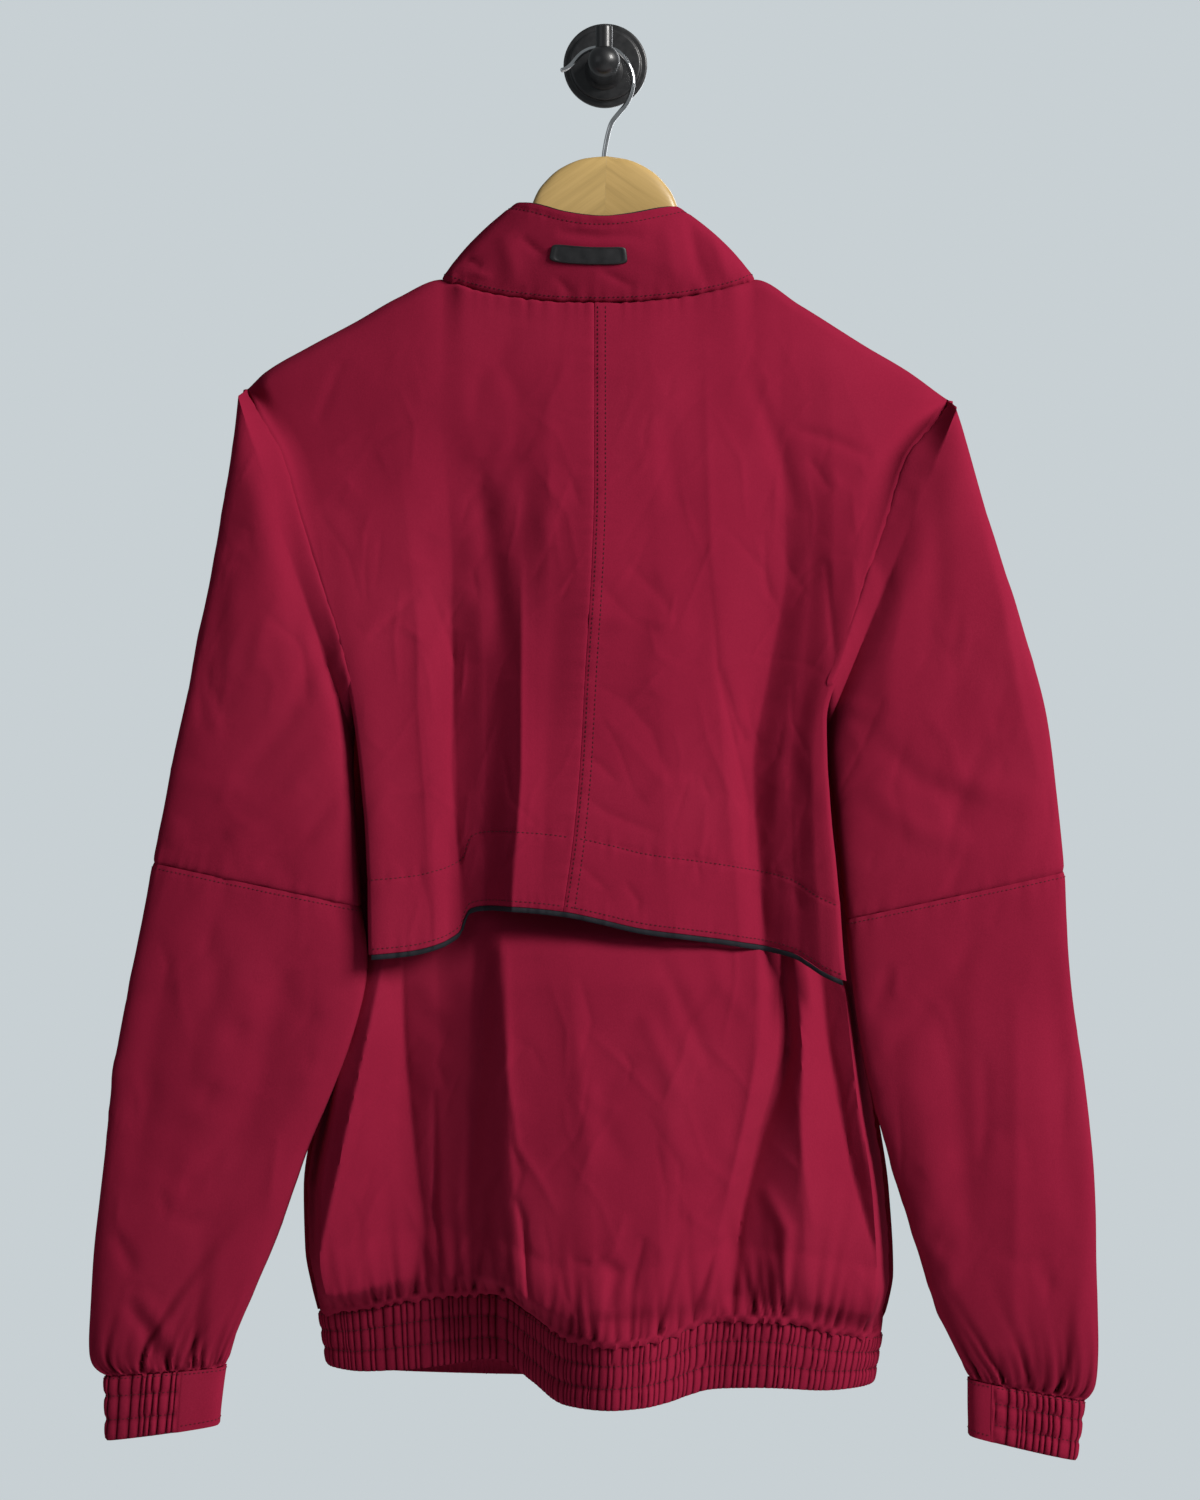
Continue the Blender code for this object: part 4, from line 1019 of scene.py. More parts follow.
@dataclass(frozen=True)
class Woven(Finish):
    """Tape or thread: a tight ribbed weave, a little paler on its ribs."""

    rib: float = 0.0006  # metres from one rib to the next

    def detail(self, nodes: Nodes) -> Mapping[str, Any]:
        """Ribs across the tape, and dust in the colour."""
        place = nodes.place()
        scaled = nodes.add("ShaderNodeMapping", {"Vector": place, "Scale": (1 / self.rib,) * 3})
        values = {"Vector": scaled.outputs[0], "Scale": 0.5, "Distortion": 0.4}
        ribs = nodes.add("ShaderNodeTexWave", values, bands_direction="DIAGONAL").outputs["Fac"]
        dust = nodes.noise(place, 120, 4)
        mixed = nodes.scaled(ribs, 0.4, nodes.sum(dust, 0.6, "MULTIPLY"))
        colour = nodes.ramp(mixed, [(0.2, self.shade(0.7)), (0.8, self.shade(1.5, 0.004))])
        normal = nodes.bump(ribs, 0.00008, 0.7)
        return {"Base Color": colour, "Normal": normal, "Specular IOR Level": 0.25}


@dataclass(frozen=True)
class Rubber(Finish):
    """Soft moulded rubber with a fine matt grain."""

    def detail(self, nodes: Nodes) -> Mapping[str, Any]:
        """Grain, and a faint bloom."""
        place = nodes.place()
        grain, bloom = nodes.noise(place, 2600, 2), nodes.noise(place, 140, 4)
        colour = nodes.ramp(bloom, [(0.3, self.colour), (0.75, self.shade(1.6, 0.006))])
        rough = nodes.scaled(bloom, 0.2, self.roughness - 0.1)
        return {"Base Color": colour, "Roughness": rough, "Normal": nodes.bump(grain, 0.00005, 0.5)}


@dataclass(frozen=True)
class Wood(Finish):
    """Pale varnished wood, its grain along the hanger's arm."""

    lean: float = 0.5  # slope of the grain in the plane of the hanger

    def detail(self, nodes: Nodes) -> Mapping[str, Any]:
        """Long grain lines, pores and a thin varnish."""
        place = nodes.place()
        leaning = nodes.add("ShaderNodeMapping", {"Vector": place, "Rotation": (0, self.lean, 0)}).outputs[0]
        lines = nodes.noise(leaning, 40, 3, (0.3, 3, 7))
        pores = nodes.noise(leaning, 260, 3, (0.2, 5, 8))
        mixed = nodes.scaled(lines, 0.75, nodes.sum(pores, 0.25, "MULTIPLY"))
        stops = [(0.3, self.shade(0.84)), (0.5, self.colour), (0.7, self.shade(1.1, 0.01))]
        colour = nodes.ramp(mixed, stops)
        rough = nodes.scaled(pores, 0.25, self.roughness - 0.1)
        plain = {"Base Color": colour, "Roughness": rough, "Normal": nodes.bump(pores, 0.0001, 0.5)}
        return {**plain, "Coat Weight": 0.25, "Coat Roughness": 0.2}


@dataclass(frozen=True)
class Metal(Finish):
    """Polished or plated metal with faint scratches."""

    wear: float = 0.12  # how much duller the metal gets in patches

    def detail(self, nodes: Nodes) -> Mapping[str, Any]:
        """Patches of wear and fine scratches."""
        place = nodes.place()
        patches, scratches = nodes.noise(place, 160, 5), nodes.noise(place, 900, 2, (1, 1, 0.08))
        rough = nodes.scaled(patches, self.wear, self.roughness - self.wear / 2)
        colour = nodes.ramp(patches, [(0.35, self.shade(0.82)), (0.65, self.colour)])
        normal = nodes.bump(scratches, 0.00003, 0.4)
        return {"Base Color": colour, "Roughness": rough, "Normal": normal, "Metallic": 1.0}


@dataclass(frozen=True)
class Iron(Finish):
    """Black lacquered iron with a fine orange-peel and patches of dust."""

    def detail(self, nodes: Nodes) -> Mapping[str, Any]:
        """Lacquer ripple, dust and specks."""
        place = nodes.place()
        ripple, dust = nodes.noise(place, 700, 2), nodes.noise(place, 180, 5)
        colour = nodes.ramp(dust, [(0.4, self.colour), (0.8, self.shade(1.8, 0.004))])
        rough = nodes.scaled(dust, 0.3, self.roughness - 0.14)
        normal = nodes.bump(ripple, 0.00009, 0.5)
        return {"Base Color": colour, "Roughness": rough, "Normal": normal, "Coat Weight": 0.2}


CLOTH = Microfibre("cloth", "burgundy microfibre", (0.252, 0.0122, 0.0375), 0.5)
THREAD = Woven("cloth", "burgundy thread", (0.05, 0.0015, 0.007), 0.7, 0.0004)
TAPE = Woven("black_tape", "navy-black tape", (0.0045, 0.005, 0.009), 0.75)
RUBBER = Rubber("label_rubber", "black rubber", (0.004, 0.004, 0.005), 0.5)
NICKEL = Metal("zip_metal", "nickel", (0.62, 0.61, 0.59), 0.28)
CHROME = Metal("chrome_wire", "chromed wire", (0.78, 0.78, 0.79), 0.12, 0.06)
WOOD_LEFT = Wood("wood", "pale wood, left half", (0.54, 0.36, 0.13), 0.4, 0.62)
WOOD_RIGHT = Wood("wood", "pale wood, right half", (0.51, 0.335, 0.118), 0.4, -0.62)
IRON = Iron("black_metal", "black iron", (0.009, 0.009, 0.01), 0.42)


def dress(piece: Object, finish: Finish, nodes: Sequence[str] = ()) -> Object:
    """Gives a piece its finish, the garment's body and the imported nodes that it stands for.

    Args:
        piece: The object.
        finish: Its finish.
        nodes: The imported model's nodes that it replaces.

    Returns:
        The same object.
    """
    piece.data.materials.append(finish.material)
    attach(piece, BODY)
    if nodes:
        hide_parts(*nodes)
    LOG.info("%s: %d vertices", piece.name, len(piece.data.vertices))
    return piece


def sheet_area(piece: Object) -> float:
    """Half of a closed cloth piece's surface, in square metres."""
    return sum(polygon.area for polygon in piece.data.polygons) / 2


# ---- the back

CAPE_LEVELS = (-240, -330, -400, -460, -510, -560, -600)
CAPE_FOLDS = {
    -1: Folds(
        CAPE_LEVELS,
        {
            "side": [(-190, 0), (-170, 1), (-160, 3), (-155, 3), (-152, 4), (-150, 4), (-150, 4)],
            "crest": [(-135, 0), (-124, -1), (-118, -1), (-112, -2), (-110, -2), (-108, -3), (-107, -3)],
            "valley": [(-105, -1), (-98, -7), (-97, -9), (-95, -9), (-94, -10), (-91, -12), (-89, -13)],
            "flank": [(-82, 0), (-78, -3), (-76, -4), (-76, -4), (-77, -5), (-75, -7), (-75, -8)],
            "sharp": [(-60, 2), (-54, 5), (-53, 8), (-53, 10), (-56, 11), (-60, 11), (-62, 11)],
            "red": [(-36, 5), (-36, 10), (-36, 8), (-37, 8), (-39, 8), (-42, 10), (-44, 11)],
            "seam": [(-7, 6), (-10, 13), (-14, 9), (-17, 7), (-20, 8), (-27, 9), (-30, 10)],
        },
        0.6,
    ),
    1: Folds(
        CAPE_LEVELS,
        {
            "seam": [(-7, 6), (-8, 13), (-13, 9), (-16, 7), (-20, 8), (-28, 9), (-32, 10)],
            "broad": [(30, 7), (32, 7), (34, 5), (36, 4), (38, 4), (40, 4), (42, 4)],
            "ridge": [(63, 2), (68, 1), (71, 0), (75, -2), (80, -4), (84, -5), (86, -5)],
            "valley": [(112, -4), (115, -9), (104, -11), (94, -12), (97, -13), (100, -13), (102, -13)],
            "crest": [(130, -2), (130, -4), (124, -3), (117, -3), (118, -3), (120, -3), (122, -3)],
            "deep": [(146, 1), (145, 2), (140, 3), (131, 4), (132, 5), (135, 5), (137, 5)],
            "side": [(165, 3), (162, 5), (158, 7), (150, 8), (150, 9), (152, 9), (152, 9)],
        },
        0.6,
    ),
}
CAPE_CREASES = {
    -1: [
        soft(-2.4, 8, (-83, -263), (-72, -330), (-59, -404)),
        sharp(-1.0, 2.6, (-24, -271), (-16, -295)),
        soft(-1.6, 4, (-169, -197), (-185, -240)),
        sharp(-1.6, 3.5, (-170, -258), (-146, -252), (-121, -237)),
        sharp(-1.6, 2.4, (-150, -379), (-129, -359), (-118, -348)),
        sharp(0.9, 2.0, (-129, -370), (-114, -381)),
        soft(-2.2, 14, (-120, -215), (-96, -262), (-70, -320)),
        sharp(2.0, 4, (-173, -391), (-163, -404)),
        sharp(-1.6, 2.4, (-100, -350), (-97, -387), (-98, -460), (-95, -503), (-89, -544)),
        sharp(1.5, 2.6, (-53, -329), (-53, -400), (-53, -462), (-55, -489), (-60, -539)),
        sharp(1.0, 3, (-119, -350), (-119, -417), (-114, -481), (-111, -544)),
        soft(-1.0, 9, (-30, -340), (-34, -420), (-40, -500)),
        soft(0.9, 6, (-74, -300), (-77, -380), (-76, -470)),
        soft(-1.4, 3.4, (-72, -165), (-60, -171), (-40, -173), (-25, -170)),
    ],
    1: [
        sharp(-1.8, 2.6, (66, -329), (71, -397), (79, -431), (90, -481), (90, -524)),
        sharp(-1.2, 2.0, (73, -397), (83, -431), (90, -447)),
        sharp(-1.1, 5, (12, -329), (34, -351), (45, -366), (40, -379)),
        sharp(-0.8, 4, (-7, -340), (16, -366), (40, -379)),
        sharp(-1.2, 6, (-10, -405), (12, -418), (29, -437), (34, -452), (47, -478)),
        sharp(0.6, 5, (-8, -422), (12, -441), (27, -459), (45, -478)),
        sharp(-0.9, 2.4, (-12, -452), (-3, -459), (8, -470)),
        sharp(-1.0, 3, (-14, -478), (1, -489), (34, -502)),
        sharp(-0.8, 2.2, (-19, -519), (-7, -530), (1, -537), (-14, -545)),
        sharp(-1.0, 2.4, (12, -532), (21, -545), (19, -552)),
        sharp(0.7, 3, (58, -411), (64, -441), (86, -493), (88, -522)),
        sharp(-1.5, 4, (120, -534), (123, -552)),
        sharp(-2.0, 3, (99, -537), (102, -571)),
        soft(-2.2, 6, (93, -210), (110, -255), (122, -300)),
        sharp(-1.8, 4, (130, -262), (144, -285)),
        soft(-1.8, 4, (119, -243), (146, -251), (170, -262)),
        soft(-2.0, 9, (37, -231), (41, -264), (45, -297)),
        sharp(1.2, 4, (63, -175), (66, -290), (70, -405)),
        sharp(1.6, 4, (157, -327), (161, -366), (163, -404)),
        sharp(-2.0, 3.4, (140, -328), (143, -366), (147, -404)),
        soft(-1.2, 3.2, (20, -168), (42, -170), (66, -163)),
        soft(1.0, 5, (104, -560), (106, -500), (112, -440)),
    ],
}

LOWER_LEVELS = (-577, -640, -700, -760, -812)
LOWER_FOLDS = Folds(
    LOWER_LEVELS,
    {
        "cleft": [(-160, -14), (-168, -13), (-178, -12), (-188, -10), (-192, -9)],
        "stripe": [(-140, -6), (-153, -5), (-166, -4), (-179, -4), (-186, -6)],
        "valley_1": [(-130, -14), (-128, -18), (-122, -21), (-116, -22), (-114, -20)],
        "low_1": [(-108, -12), (-106, -14), (-104, -15), (-103, -15), (-99, -14)],
        "dark": [(-84, -5), (-86, -8), (-88, -10), (-88, -10), (-88, -9)],
        "edge": [(-66, 10), (-63, 11), (-60, 12), (-54, 15), (-48, 19)],
        "ridge": [(-22, 12), (-18, 13), (-11, 16), (-8, 20), (-4, 26)],
        "broad": [(40, 10), (40, 12), (38, 14), (34, 18), (30, 22)],
        "ridge_2": [(96, 3), (94, 4), (84, 5), (70, 5), (62, 5)],
        "valley_2": [(113, -9), (116, -11), (98, -10), (84, -9), (78, -7)],
        "ridge_3": [(120, -2), (124, 1), (124, 2), (126, 1), (128, -1)],
        "valley_3": [(137, -13), (142, -13), (154, -13), (169, -11), (176, -9)],
        "side": [(158, -5), (166, -5), (174, -4), (184, -3), (187, -3)],
    },
    0.62,
)
LOWER_CREASES = [
    sharp(-2.4, 2.4, (-109, -664), (-109, -727), (-110, -740), (-103, -787), (-99, -792)),
    soft(1.2, 7, (-22, -596), (-19, -624), (-12, -679), (-10, -718)),
    sharp(-4.0, 2.8, (-57, -730), (-52, -745), (-49, -789), (-47, -806)),
    sharp(-1.6, 2.2, (-23, -769), (-14, -771), (-5, -774)),
    soft(-2.4, 5, (-6, -767), (7, -777), (1, -799)),
    soft(-1.4, 6, (34, -578), (53, -621), (70, -654)),
    soft(1.2, 6, (24, -613), (48, -672)),
    sharp(-2.2, 2.6, (15, -791), (20, -772), (24, -754)),
    sharp(-2.4, 2.2, (72, -757), (62, -784), (53, -809)),
    soft(1.4, 3, (78, -760), (68, -786), (59, -809)),
    soft(3.0, 5, (100, -725), (114, -753), (112, -787), (107, -812)),
    sharp(1.4, 2.8, (-63, -569), (-61, -657), (-55, -699), (-42, -718), (-29, -742)),
    soft(-2.0, 4, (-73, -575), (-75, -593), (-80, -664), (-85, -712), (-91, -759)),
    sharp(1.6, 2.6, (-140, -582), (-147, -612), (-155, -649), (-164, -690), (-171, -723), (-178, -756),
          (-190, -790)),
    sharp(-1.8, 2.6, (-130, -582), (-129, -625), (-126, -664), (-123, -696), (-120, -721), (-116, -751),
          (-116, -779)),
    sharp(-2.2, 2.8, (113, -577), (113, -601), (118, -633), (106, -666), (95, -701), (87, -736),
          (82, -788), (78, -805)),
    sharp(1.4, 3, (98, -579), (98, -630), (88, -682), (74, -743)),
    sharp(-2.0, 2.8, (137, -588), (141, -632), (149, -667), (156, -710), (167, -754), (181, -789)),
    sharp(1.4, 3, (116, -641), (123, -683), (126, -718), (131, -753)),
]
LOWER_GATHERS = Gathers(
    [(-147, 12, 3.2, -0.15), (-122, 15, 3.2, 0.12), (-84, 20, 2.4, -0.05), (-66, 15, 2.6, 0.1),
     (-24, 14, 2.4, 0.2), (-8, 22, 2.2, -0.1), (34, 24, 2.6, 0.25), (93, 18, 2.8, 0.1),
     (113, 26, 3.4, -0.1), (146, 15, 2.8, 0.2), (166, 12, 2.6, 0.3)],
    41,
    (-184, 182),
    52,
)


@dataclass
class Back:
    """The back: a cape in two halves with a bound hem, and the cloth below it down to the waistband."""

    columns: int = 124  # columns across a half of the cape
    rows: int = 200  # rows down the cape below its rolled top edge
    lower_columns: int = 236  # columns across the lower back
    lower_rows: int = 146  # rows down the lower back
    binding_width: float = 3.2  # width of the tape that binds the hem
    binding_wall: float = 1.8  # its thickness
    hem_depth: float = 47.0  # height of the deep row of stitches above the hem
    halves: dict[int, Grid] = field(default_factory=dict)  # the cape's two faces once they are made, by side

    def half(self, side: int) -> Grid:
        """The outer face of the cape's left (-1) or right (1) half.

        Columns run from the free side edge to the seam, in even shares of the width. A point hangs from
        the shoulder's edge: its depth goes from the edge's to the hanging face's as 1 - exp(-below/HANG),
        the folds come in as 1 - exp(-below/FOLD_START), and the cloth turns in at the free edge.

        Args:
            side: Which half.

        Returns:
            The face.
        """
        edge = CAPE_LEFT if side < 0 else CAPE_RIGHT
        across = np.linspace(0, 1, self.columns)
        first, last = edge.data[0], edge.data[-1]
        top_x = first[1] + (BACK_SEAM.data[0, 1] - first[1]) * across
        low_x = last[1] + (BACK_SEAM.data[-1, 1] - last[1]) * across
        top_z, low_z = TOP_EDGE.at("z", top_x), CAPE_HEM.at("z", low_x)
        below = hanging(top_z, low_z, self.rows)
        z = top_z - below
        edge_x, edge_y = edge.at("x", z), edge.at("y", z)
        x = edge_x + (BACK_SEAM.at("x", z) + side * GAP / 2 - edge_x) * across
        start = TOP_EDGE.at("y", top_x) - rolled(below, TOP_EDGE.at("roll", top_x))
        hung = start + np.minimum(CAPE_FACE.at("y", z) - start, 0) * (1 - np.exp(-below / HANG))
        low, high = ((-190, -560), (-15, -190)) if side < 0 else ((0, -560), (170, -190))
        creases = CAPE_CREASES[side] + rumples(20 + side, low, high, 110, 1.2)
        out = CAPE_FOLDS[side].out(x, z) + 0.85 * pressed(x, z, creases)
        hung -= out * (1 - np.exp(-below / FOLD_START))
        y = edge_y + (hung - edge_y) * turned(np.abs(x - edge_x), CAPE_TURN)
        grid = Grid(np.stack([x, y, z], axis=2), np.array((0.0, 0.0, -400.0)))
        from_seam, above_hem = np.abs(x - x[:, -1:]), z - z[-1:]
        relief = sewn(from_seam, z, 7, 0.45, 0.45)
        relief += sewn(above_hem, x, 9, 0.6, 0.4)
        deep = np.abs(above_hem - self.hem_depth)
        relief += 0.15 * eased((self.hem_depth + 0.6 - above_hem) / 2.4)
        relief -= 0.5 * np.exp(-((deep / 1.2) ** 2)) - 0.45 * wander(x, 4.2, 12) * np.exp(-deep / 5)
        relief += sewn(below, x, 14 + side, 0.25, 0.5) * (np.abs(x + 5) < 96)
        if side > 0:
            relief += 0.2 * eased((7.5 - from_seam) / 2.5)
        return grid.moved(relief)

    def build_cape(self) -> None:
        """Makes both halves, the binding and the rows of stitches."""
        for side, word in ((-1, "left"), (1, "right")):
            self.halves[side] = self.half(side)
            face = self.halves[side].tucked(0, 0, 0.8, 0.4)
            face = face.tucked(1, 0, 2.4, 1.8)
            face.points[:, 0, 2] = np.minimum(face.points[:, 0, 2], face.points[:, 1, 2] - 0.3)
            face = face.tucked(1, -1) if side < 0 else face
            piece = dress(shell(f"cape_cloth_{word}", face, SHELL), CLOTH, [f"cape_{word}"])
        left, right = self.halves[-1].points, self.halves[1].points
        hem = np.concatenate([left[-1, :-1], (left[-1, -1:] + right[-1, -1:]) / 2, right[-1, -2::-1]])
        share = np.linspace(0, 1, 7)[:, None]
        outer = hem + (0, -GAP, -GAP)
        face = outer[None] - share[..., None] * (0, 0, self.binding_width)
        face[..., 1] -= 0.55 * np.sqrt(np.sin(pi * share).clip(0, 1)) + 0.1 * wander(hem[:, 0], 2.5, 31)
        grid = Grid(face, np.array((0.0, 0.0, -400.0)))
        dress(shell("cape_hem_binding", grid, self.binding_wall), TAPE, ["cape_binding"])
        column = np.arange(0, self.columns - 1, dtype=float)
        lines = []
        for half in self.halves.values():
            lines += [half.above_end(column, above) for above in (3.4, self.hem_depth)]
        row = np.arange(3, len(left) - 1, dtype=float)
        lines += [self.halves[1].before_side(row, wide) for wide in (2.0, 7.0)]
        dress(Stitching().build("cape_stitches", lines), THREAD)

    def lower_face(self) -> tuple[Grid, Array]:
        """The outer face of the lower back, and how deep each point lies in the gathers' slits, as a mask of
        painted shade.

        Columns run from side seam to side seam in even shares. Below the cape the cloth stands out from
        a smooth face by the folds' height, turns in at the sides, and is drawn into the waistband's path
        over the last GATHER millimetres, above which it blouses out as sin(pi * height / BLOUSE_HEIGHT).

        Returns:
            The face and the depths, 0 to 1, the mask of painted shade.
        """
        across = np.linspace(0, 1, self.lower_columns)
        low_x = SIDE_LEFT.data[-1, 1] + (SIDE_RIGHT.data[-1, 1] - SIDE_LEFT.data[-1, 1]) * across
        low_z = BAND_BACK.at("top", low_x) + BAND_GAP
        z = LOWER_TOP + (low_z - LOWER_TOP) * np.linspace(0, 1, self.lower_rows)[:, None] ** 0.9
        left, right = SIDE_LEFT.at("x", z) + SIDE_INSET, SIDE_RIGHT.at("x", z) - SIDE_INSET
        x = left + (right - left) * across
        edge_y = SIDE_LEFT.at("y", z) * (1 - across) + SIDE_RIGHT.at("y", z) * across
        shown = eased((-540 - z) / 40)
        wide = TURN_ABOVE - (TURN_ABOVE - TURN_BELOW) * eased((-545 - z) / 60)
        creases = LOWER_CREASES + rumples(33, (-170, -800), (170, -590), 120, 1.4)
        out = LOWER_FOLDS.out(x, z) + pressed(x, z, creases) * eased((z - low_z) / 16)
        hung = LOWER_FACE.at("y", z) - out * shown
        y = edge_y + (hung - edge_y) * turned(x - left, wide, 1.25) * turned(right - x, wide, 1.25)
        above = z - low_z
        bloused = BLOUSE * np.sin(pi * np.clip(above / BLOUSE_HEIGHT, 0, 1)) * turned(x - left, EDGE_TURN)
        start = BAND_BACK.at("y", x) - BAND_STAND
        y = start + (y - start) * eased(above / GATHER) - bloused
        grid = Grid(np.stack([x, y, z], axis=2), np.array((0.0, 0.0, -600.0)))
        gathers = LOWER_GATHERS.out(x, above)
        relief = gathers + sewn(x - left, z, 51, 0.5, 0.4) + sewn(right - x, z, 53, 0.5, 0.4)
        # The tucks' depth is returned as the mask of painted shade.
        return grid.moved(relief), -gathers / 2.6

    def build_lower(self) -> None:
        """Makes the lower back."""
        face, hollow = self.lower_face()
        face = face.tucked(0, -1, 3.2, 2.6).tucked(1, 0, 3, 0).tucked(1, -1, 3, 0)
        hollow = np.pad(hollow, ((0, 1), (1, 1)), "edge")
        # hollow: the mask of painted shade in the tucks.
        piece = dress(shell("back_lower_cloth", face, SHELL, hollow), CLOTH, ["back_lower"])


# ---- fronts and waistband

FRONT_LEVELS = (-240, -400, -600, -800)
FRONT_FOLDS = {
    -1: Folds(
        FRONT_LEVELS,
        {
            "side": [(-190, 0), (-165, -1), (-175, -2), (-185, -1)],
            "hollow": [(-120, -3), (-118, -4), (-114, -5), (-110, -5)],
            "ridge": [(-58, 2), (-61, 3), (-64, 4), (-66, 5)],
            "edge": [(-22, 0), (-22, 0), (-22, 0), (-22, 0)],
        },
        0.4,
    ),
    1: Folds(
        FRONT_LEVELS,
        {
            "edge": [(14, 0), (14, 0), (14, 0), (14, 0)],
            "hollow": [(52, -3), (54, -4), (58, -4), (60, -5)],
            "ridge": [(112, 2), (114, 3), (117, 4), (118, 5)],
            "side": [(185, 0), (155, -1), (165, -2), (175, -2)],
        },
        0.4,
    ),
}
FRONT_GATHERS = {
    -1: Gathers([(-150, 24, 2.2, 0.1), (-96, 30, 2.4, -0.1), (-48, 20, 2.0, 0.1)], 61, (-184, -26), 24),
    1: Gathers([(38, 22, 2.0, 0.1), (90, 28, 2.4, -0.1), (144, 24, 2.2, 0.1)], 67, (16, 180), 24),
}


@dataclass
class Fronts:
    """The two fronts, from shoulder and neck to the waistband, on each side of the zip."""

    columns: int = 28  # columns across a front below the neck
    shoulder_columns: int = 22  # columns across its shoulder
    rows: int = 110  # rows down a front

    def face(self, side: int) -> Grid:
        """The outer face of the front left or right of the zip, as the viewer sees it.

        It hangs like the cape, toward the wall, and its folds grow in beside the flat cloth at the zip.

        Args:
            side: -1 or 1.

        Returns:
            The face.
        """
        edge = SIDE_LEFT if side < 0 else SIDE_RIGHT
        middle = CENTRE_FRONT + side * FRONT_EDGE
        neck = NECK_RIGHT if side > 0 else NECK_LEFT
        first = edge.data[0, 1]
        shoulder_x = np.linspace(first, neck, self.shoulder_columns)
        top_x = np.concatenate([shoulder_x, np.linspace(neck, middle, self.columns)[1:]])
        across = (top_x - first) / (middle - first)
        on_shoulder = np.abs(top_x - middle) >= abs(neck - middle)
        top_z = np.where(on_shoulder, TOP_EDGE.at("z", top_x), NECK_FRONT.at("z", top_x))
        top_y = np.where(on_shoulder, TOP_EDGE.at("y", top_x) + 1.0, NECK_FRONT.at("y", top_x))
        radius = np.where(on_shoulder, SHOULDER_ROLL, NECK_ROLL)
        low_x = edge.data[-1, 1] + (middle - edge.data[-1, 1]) * across
        band = BAND_FRONT[side]
        low_z = band.at("top", low_x) + GAP
        low_z[0] = edge.data[-1, 0] + GAP
        below = hanging(top_z, low_z, self.rows)
        z = top_z - below
        edge_x, edge_y = edge.at("x", z), edge.at("y", z) + SEAM_FRONT
        x = edge_x + (middle - edge_x) * across
        start = top_y + rolled(below, radius)
        free = np.clip((np.abs(x - CENTRE_FRONT) - PLACKET) / PLACKET_EASE, 0, 1)
        free = free * (1 - np.exp(-below / FOLD_START)) * eased((z - low_z) / FOLD_START)
        hung = start + (FRONT_Y - start) * (1 - np.exp(-below / HANG))
        low, high = ((-180, -780), (-40, -260)) if side < 0 else ((30, -780), (170, -260))
        out = FRONT_FOLDS[side].out(x, z) + pressed(x, z, rumples(71 + side, low, high, 34, 1.4))
        hung = np.minimum(hung + out * free, -3.0)
        y = edge_y + (hung - edge_y) * turned(np.abs(x - edge_x), EDGE_TURN)
        grid = Grid(np.stack([x, y, z], axis=2), np.array((0.0, -50.0, -500.0)))
        from_zip, above = np.abs(x - middle), z - low_z
        gathers = FRONT_GATHERS[side].out(x, above) * eased((from_zip - 14) / 12)
        relief = sewn(from_zip, z, 75, 0.3, 0.25) + gathers
        return grid.moved(relief * eased((below - 2) / 10))

    def build(self) -> None:
        """Makes both fronts and the stitches beside the zip."""
        lines = []
        for side, word in ((-1, "left"), (1, "right")):
            grid = self.face(side)
            piece = dress(shell(f"front_cloth_{word}", grid, SHELL), CLOTH, [f"front_{word}"])
            row = np.arange(6, len(grid.points) - 1, dtype=float)
            lines += [grid.before_side(row, wide) for wide in (1.8, 7.0)]
        dress(Stitching().build("front_stitches", lines), THREAD)


@dataclass
class Waistband:
    """The shirred band round the hem, one strip from the zip round the back to the zip."""

    columns: int = 1740  # columns along the strip
    rows: int = 16  # rows down it
    pitch: float = 4.6  # mean distance between two grooves
    depth: float = 2.1  # how far a rib stands above its grooves
    plain: float = 18.0  # length of flat cloth at each end

    def face(self) -> tuple[Grid, Array]:
        """The band's outer face: a shirred strip along its path, drawn in at its lower edge.

        Returns:
            The face, and how deep each point lies in a slit, 0 to 1, the mask of painted shade.
        """
        coarse = BAND.along(np.linspace(0, len(BAND.rows) - 1, 1200))
        run = np.concatenate([[0], np.cumsum(np.hypot(np.diff(coarse[:, 0]), np.diff(coarse[:, 1])))])
        even = np.linspace(0, run[-1], self.columns)
        x, y, top, low = (np.interp(even, run, coarse[:, k]) for k in range(4))
        share = np.linspace(0, 1, self.rows)[:, None]
        drawn_in, height = x * (1 - BAND_TAPER * share), top + (low - top) * share
        points = np.stack(np.broadcast_arrays(drawn_in, y, height), axis=2)
        length = even[None] + 0 * share
        ribs, slits = shirring(81, run[-1], self.pitch, 3, length, share + 0 * length, 2.0)
        flat = eased((np.minimum(length, run[-1] - length) - self.plain) / 8)
        swell = 0.82 + 0.35 * wander(length, 9, 83)
        scallop = np.where(share > 0.9, (share - 0.9) * 10, 0) * (0.8 * ribs - 0.5)
        points[..., 2] -= scallop * flat
        grid = Grid(points, np.array((0.0, -50.0, -835.0)))
        # The slits' mask goes to the finish as painted shade.
        return grid.moved((ribs * swell - 0.75) * self.depth * flat), slits * flat

    def build(self) -> None:
        """Makes the band and its rows of stitches."""
        grid, hollow = self.face()
        piece = dress(shell("waistband_cloth", grid, BAND_WALL, hollow), CLOTH, ["waistband"])
        column = np.linspace(2, self.columns - 3, 1500)
        lines = [grid.at(0 * column + (self.rows - 1) * share, column) for share in (0.05, 1 / 3, 2 / 3)]
        dress(Stitching(2.6, 1.9, 0.26).build("waistband_stitches", lines), THREAD)


# ---- collar


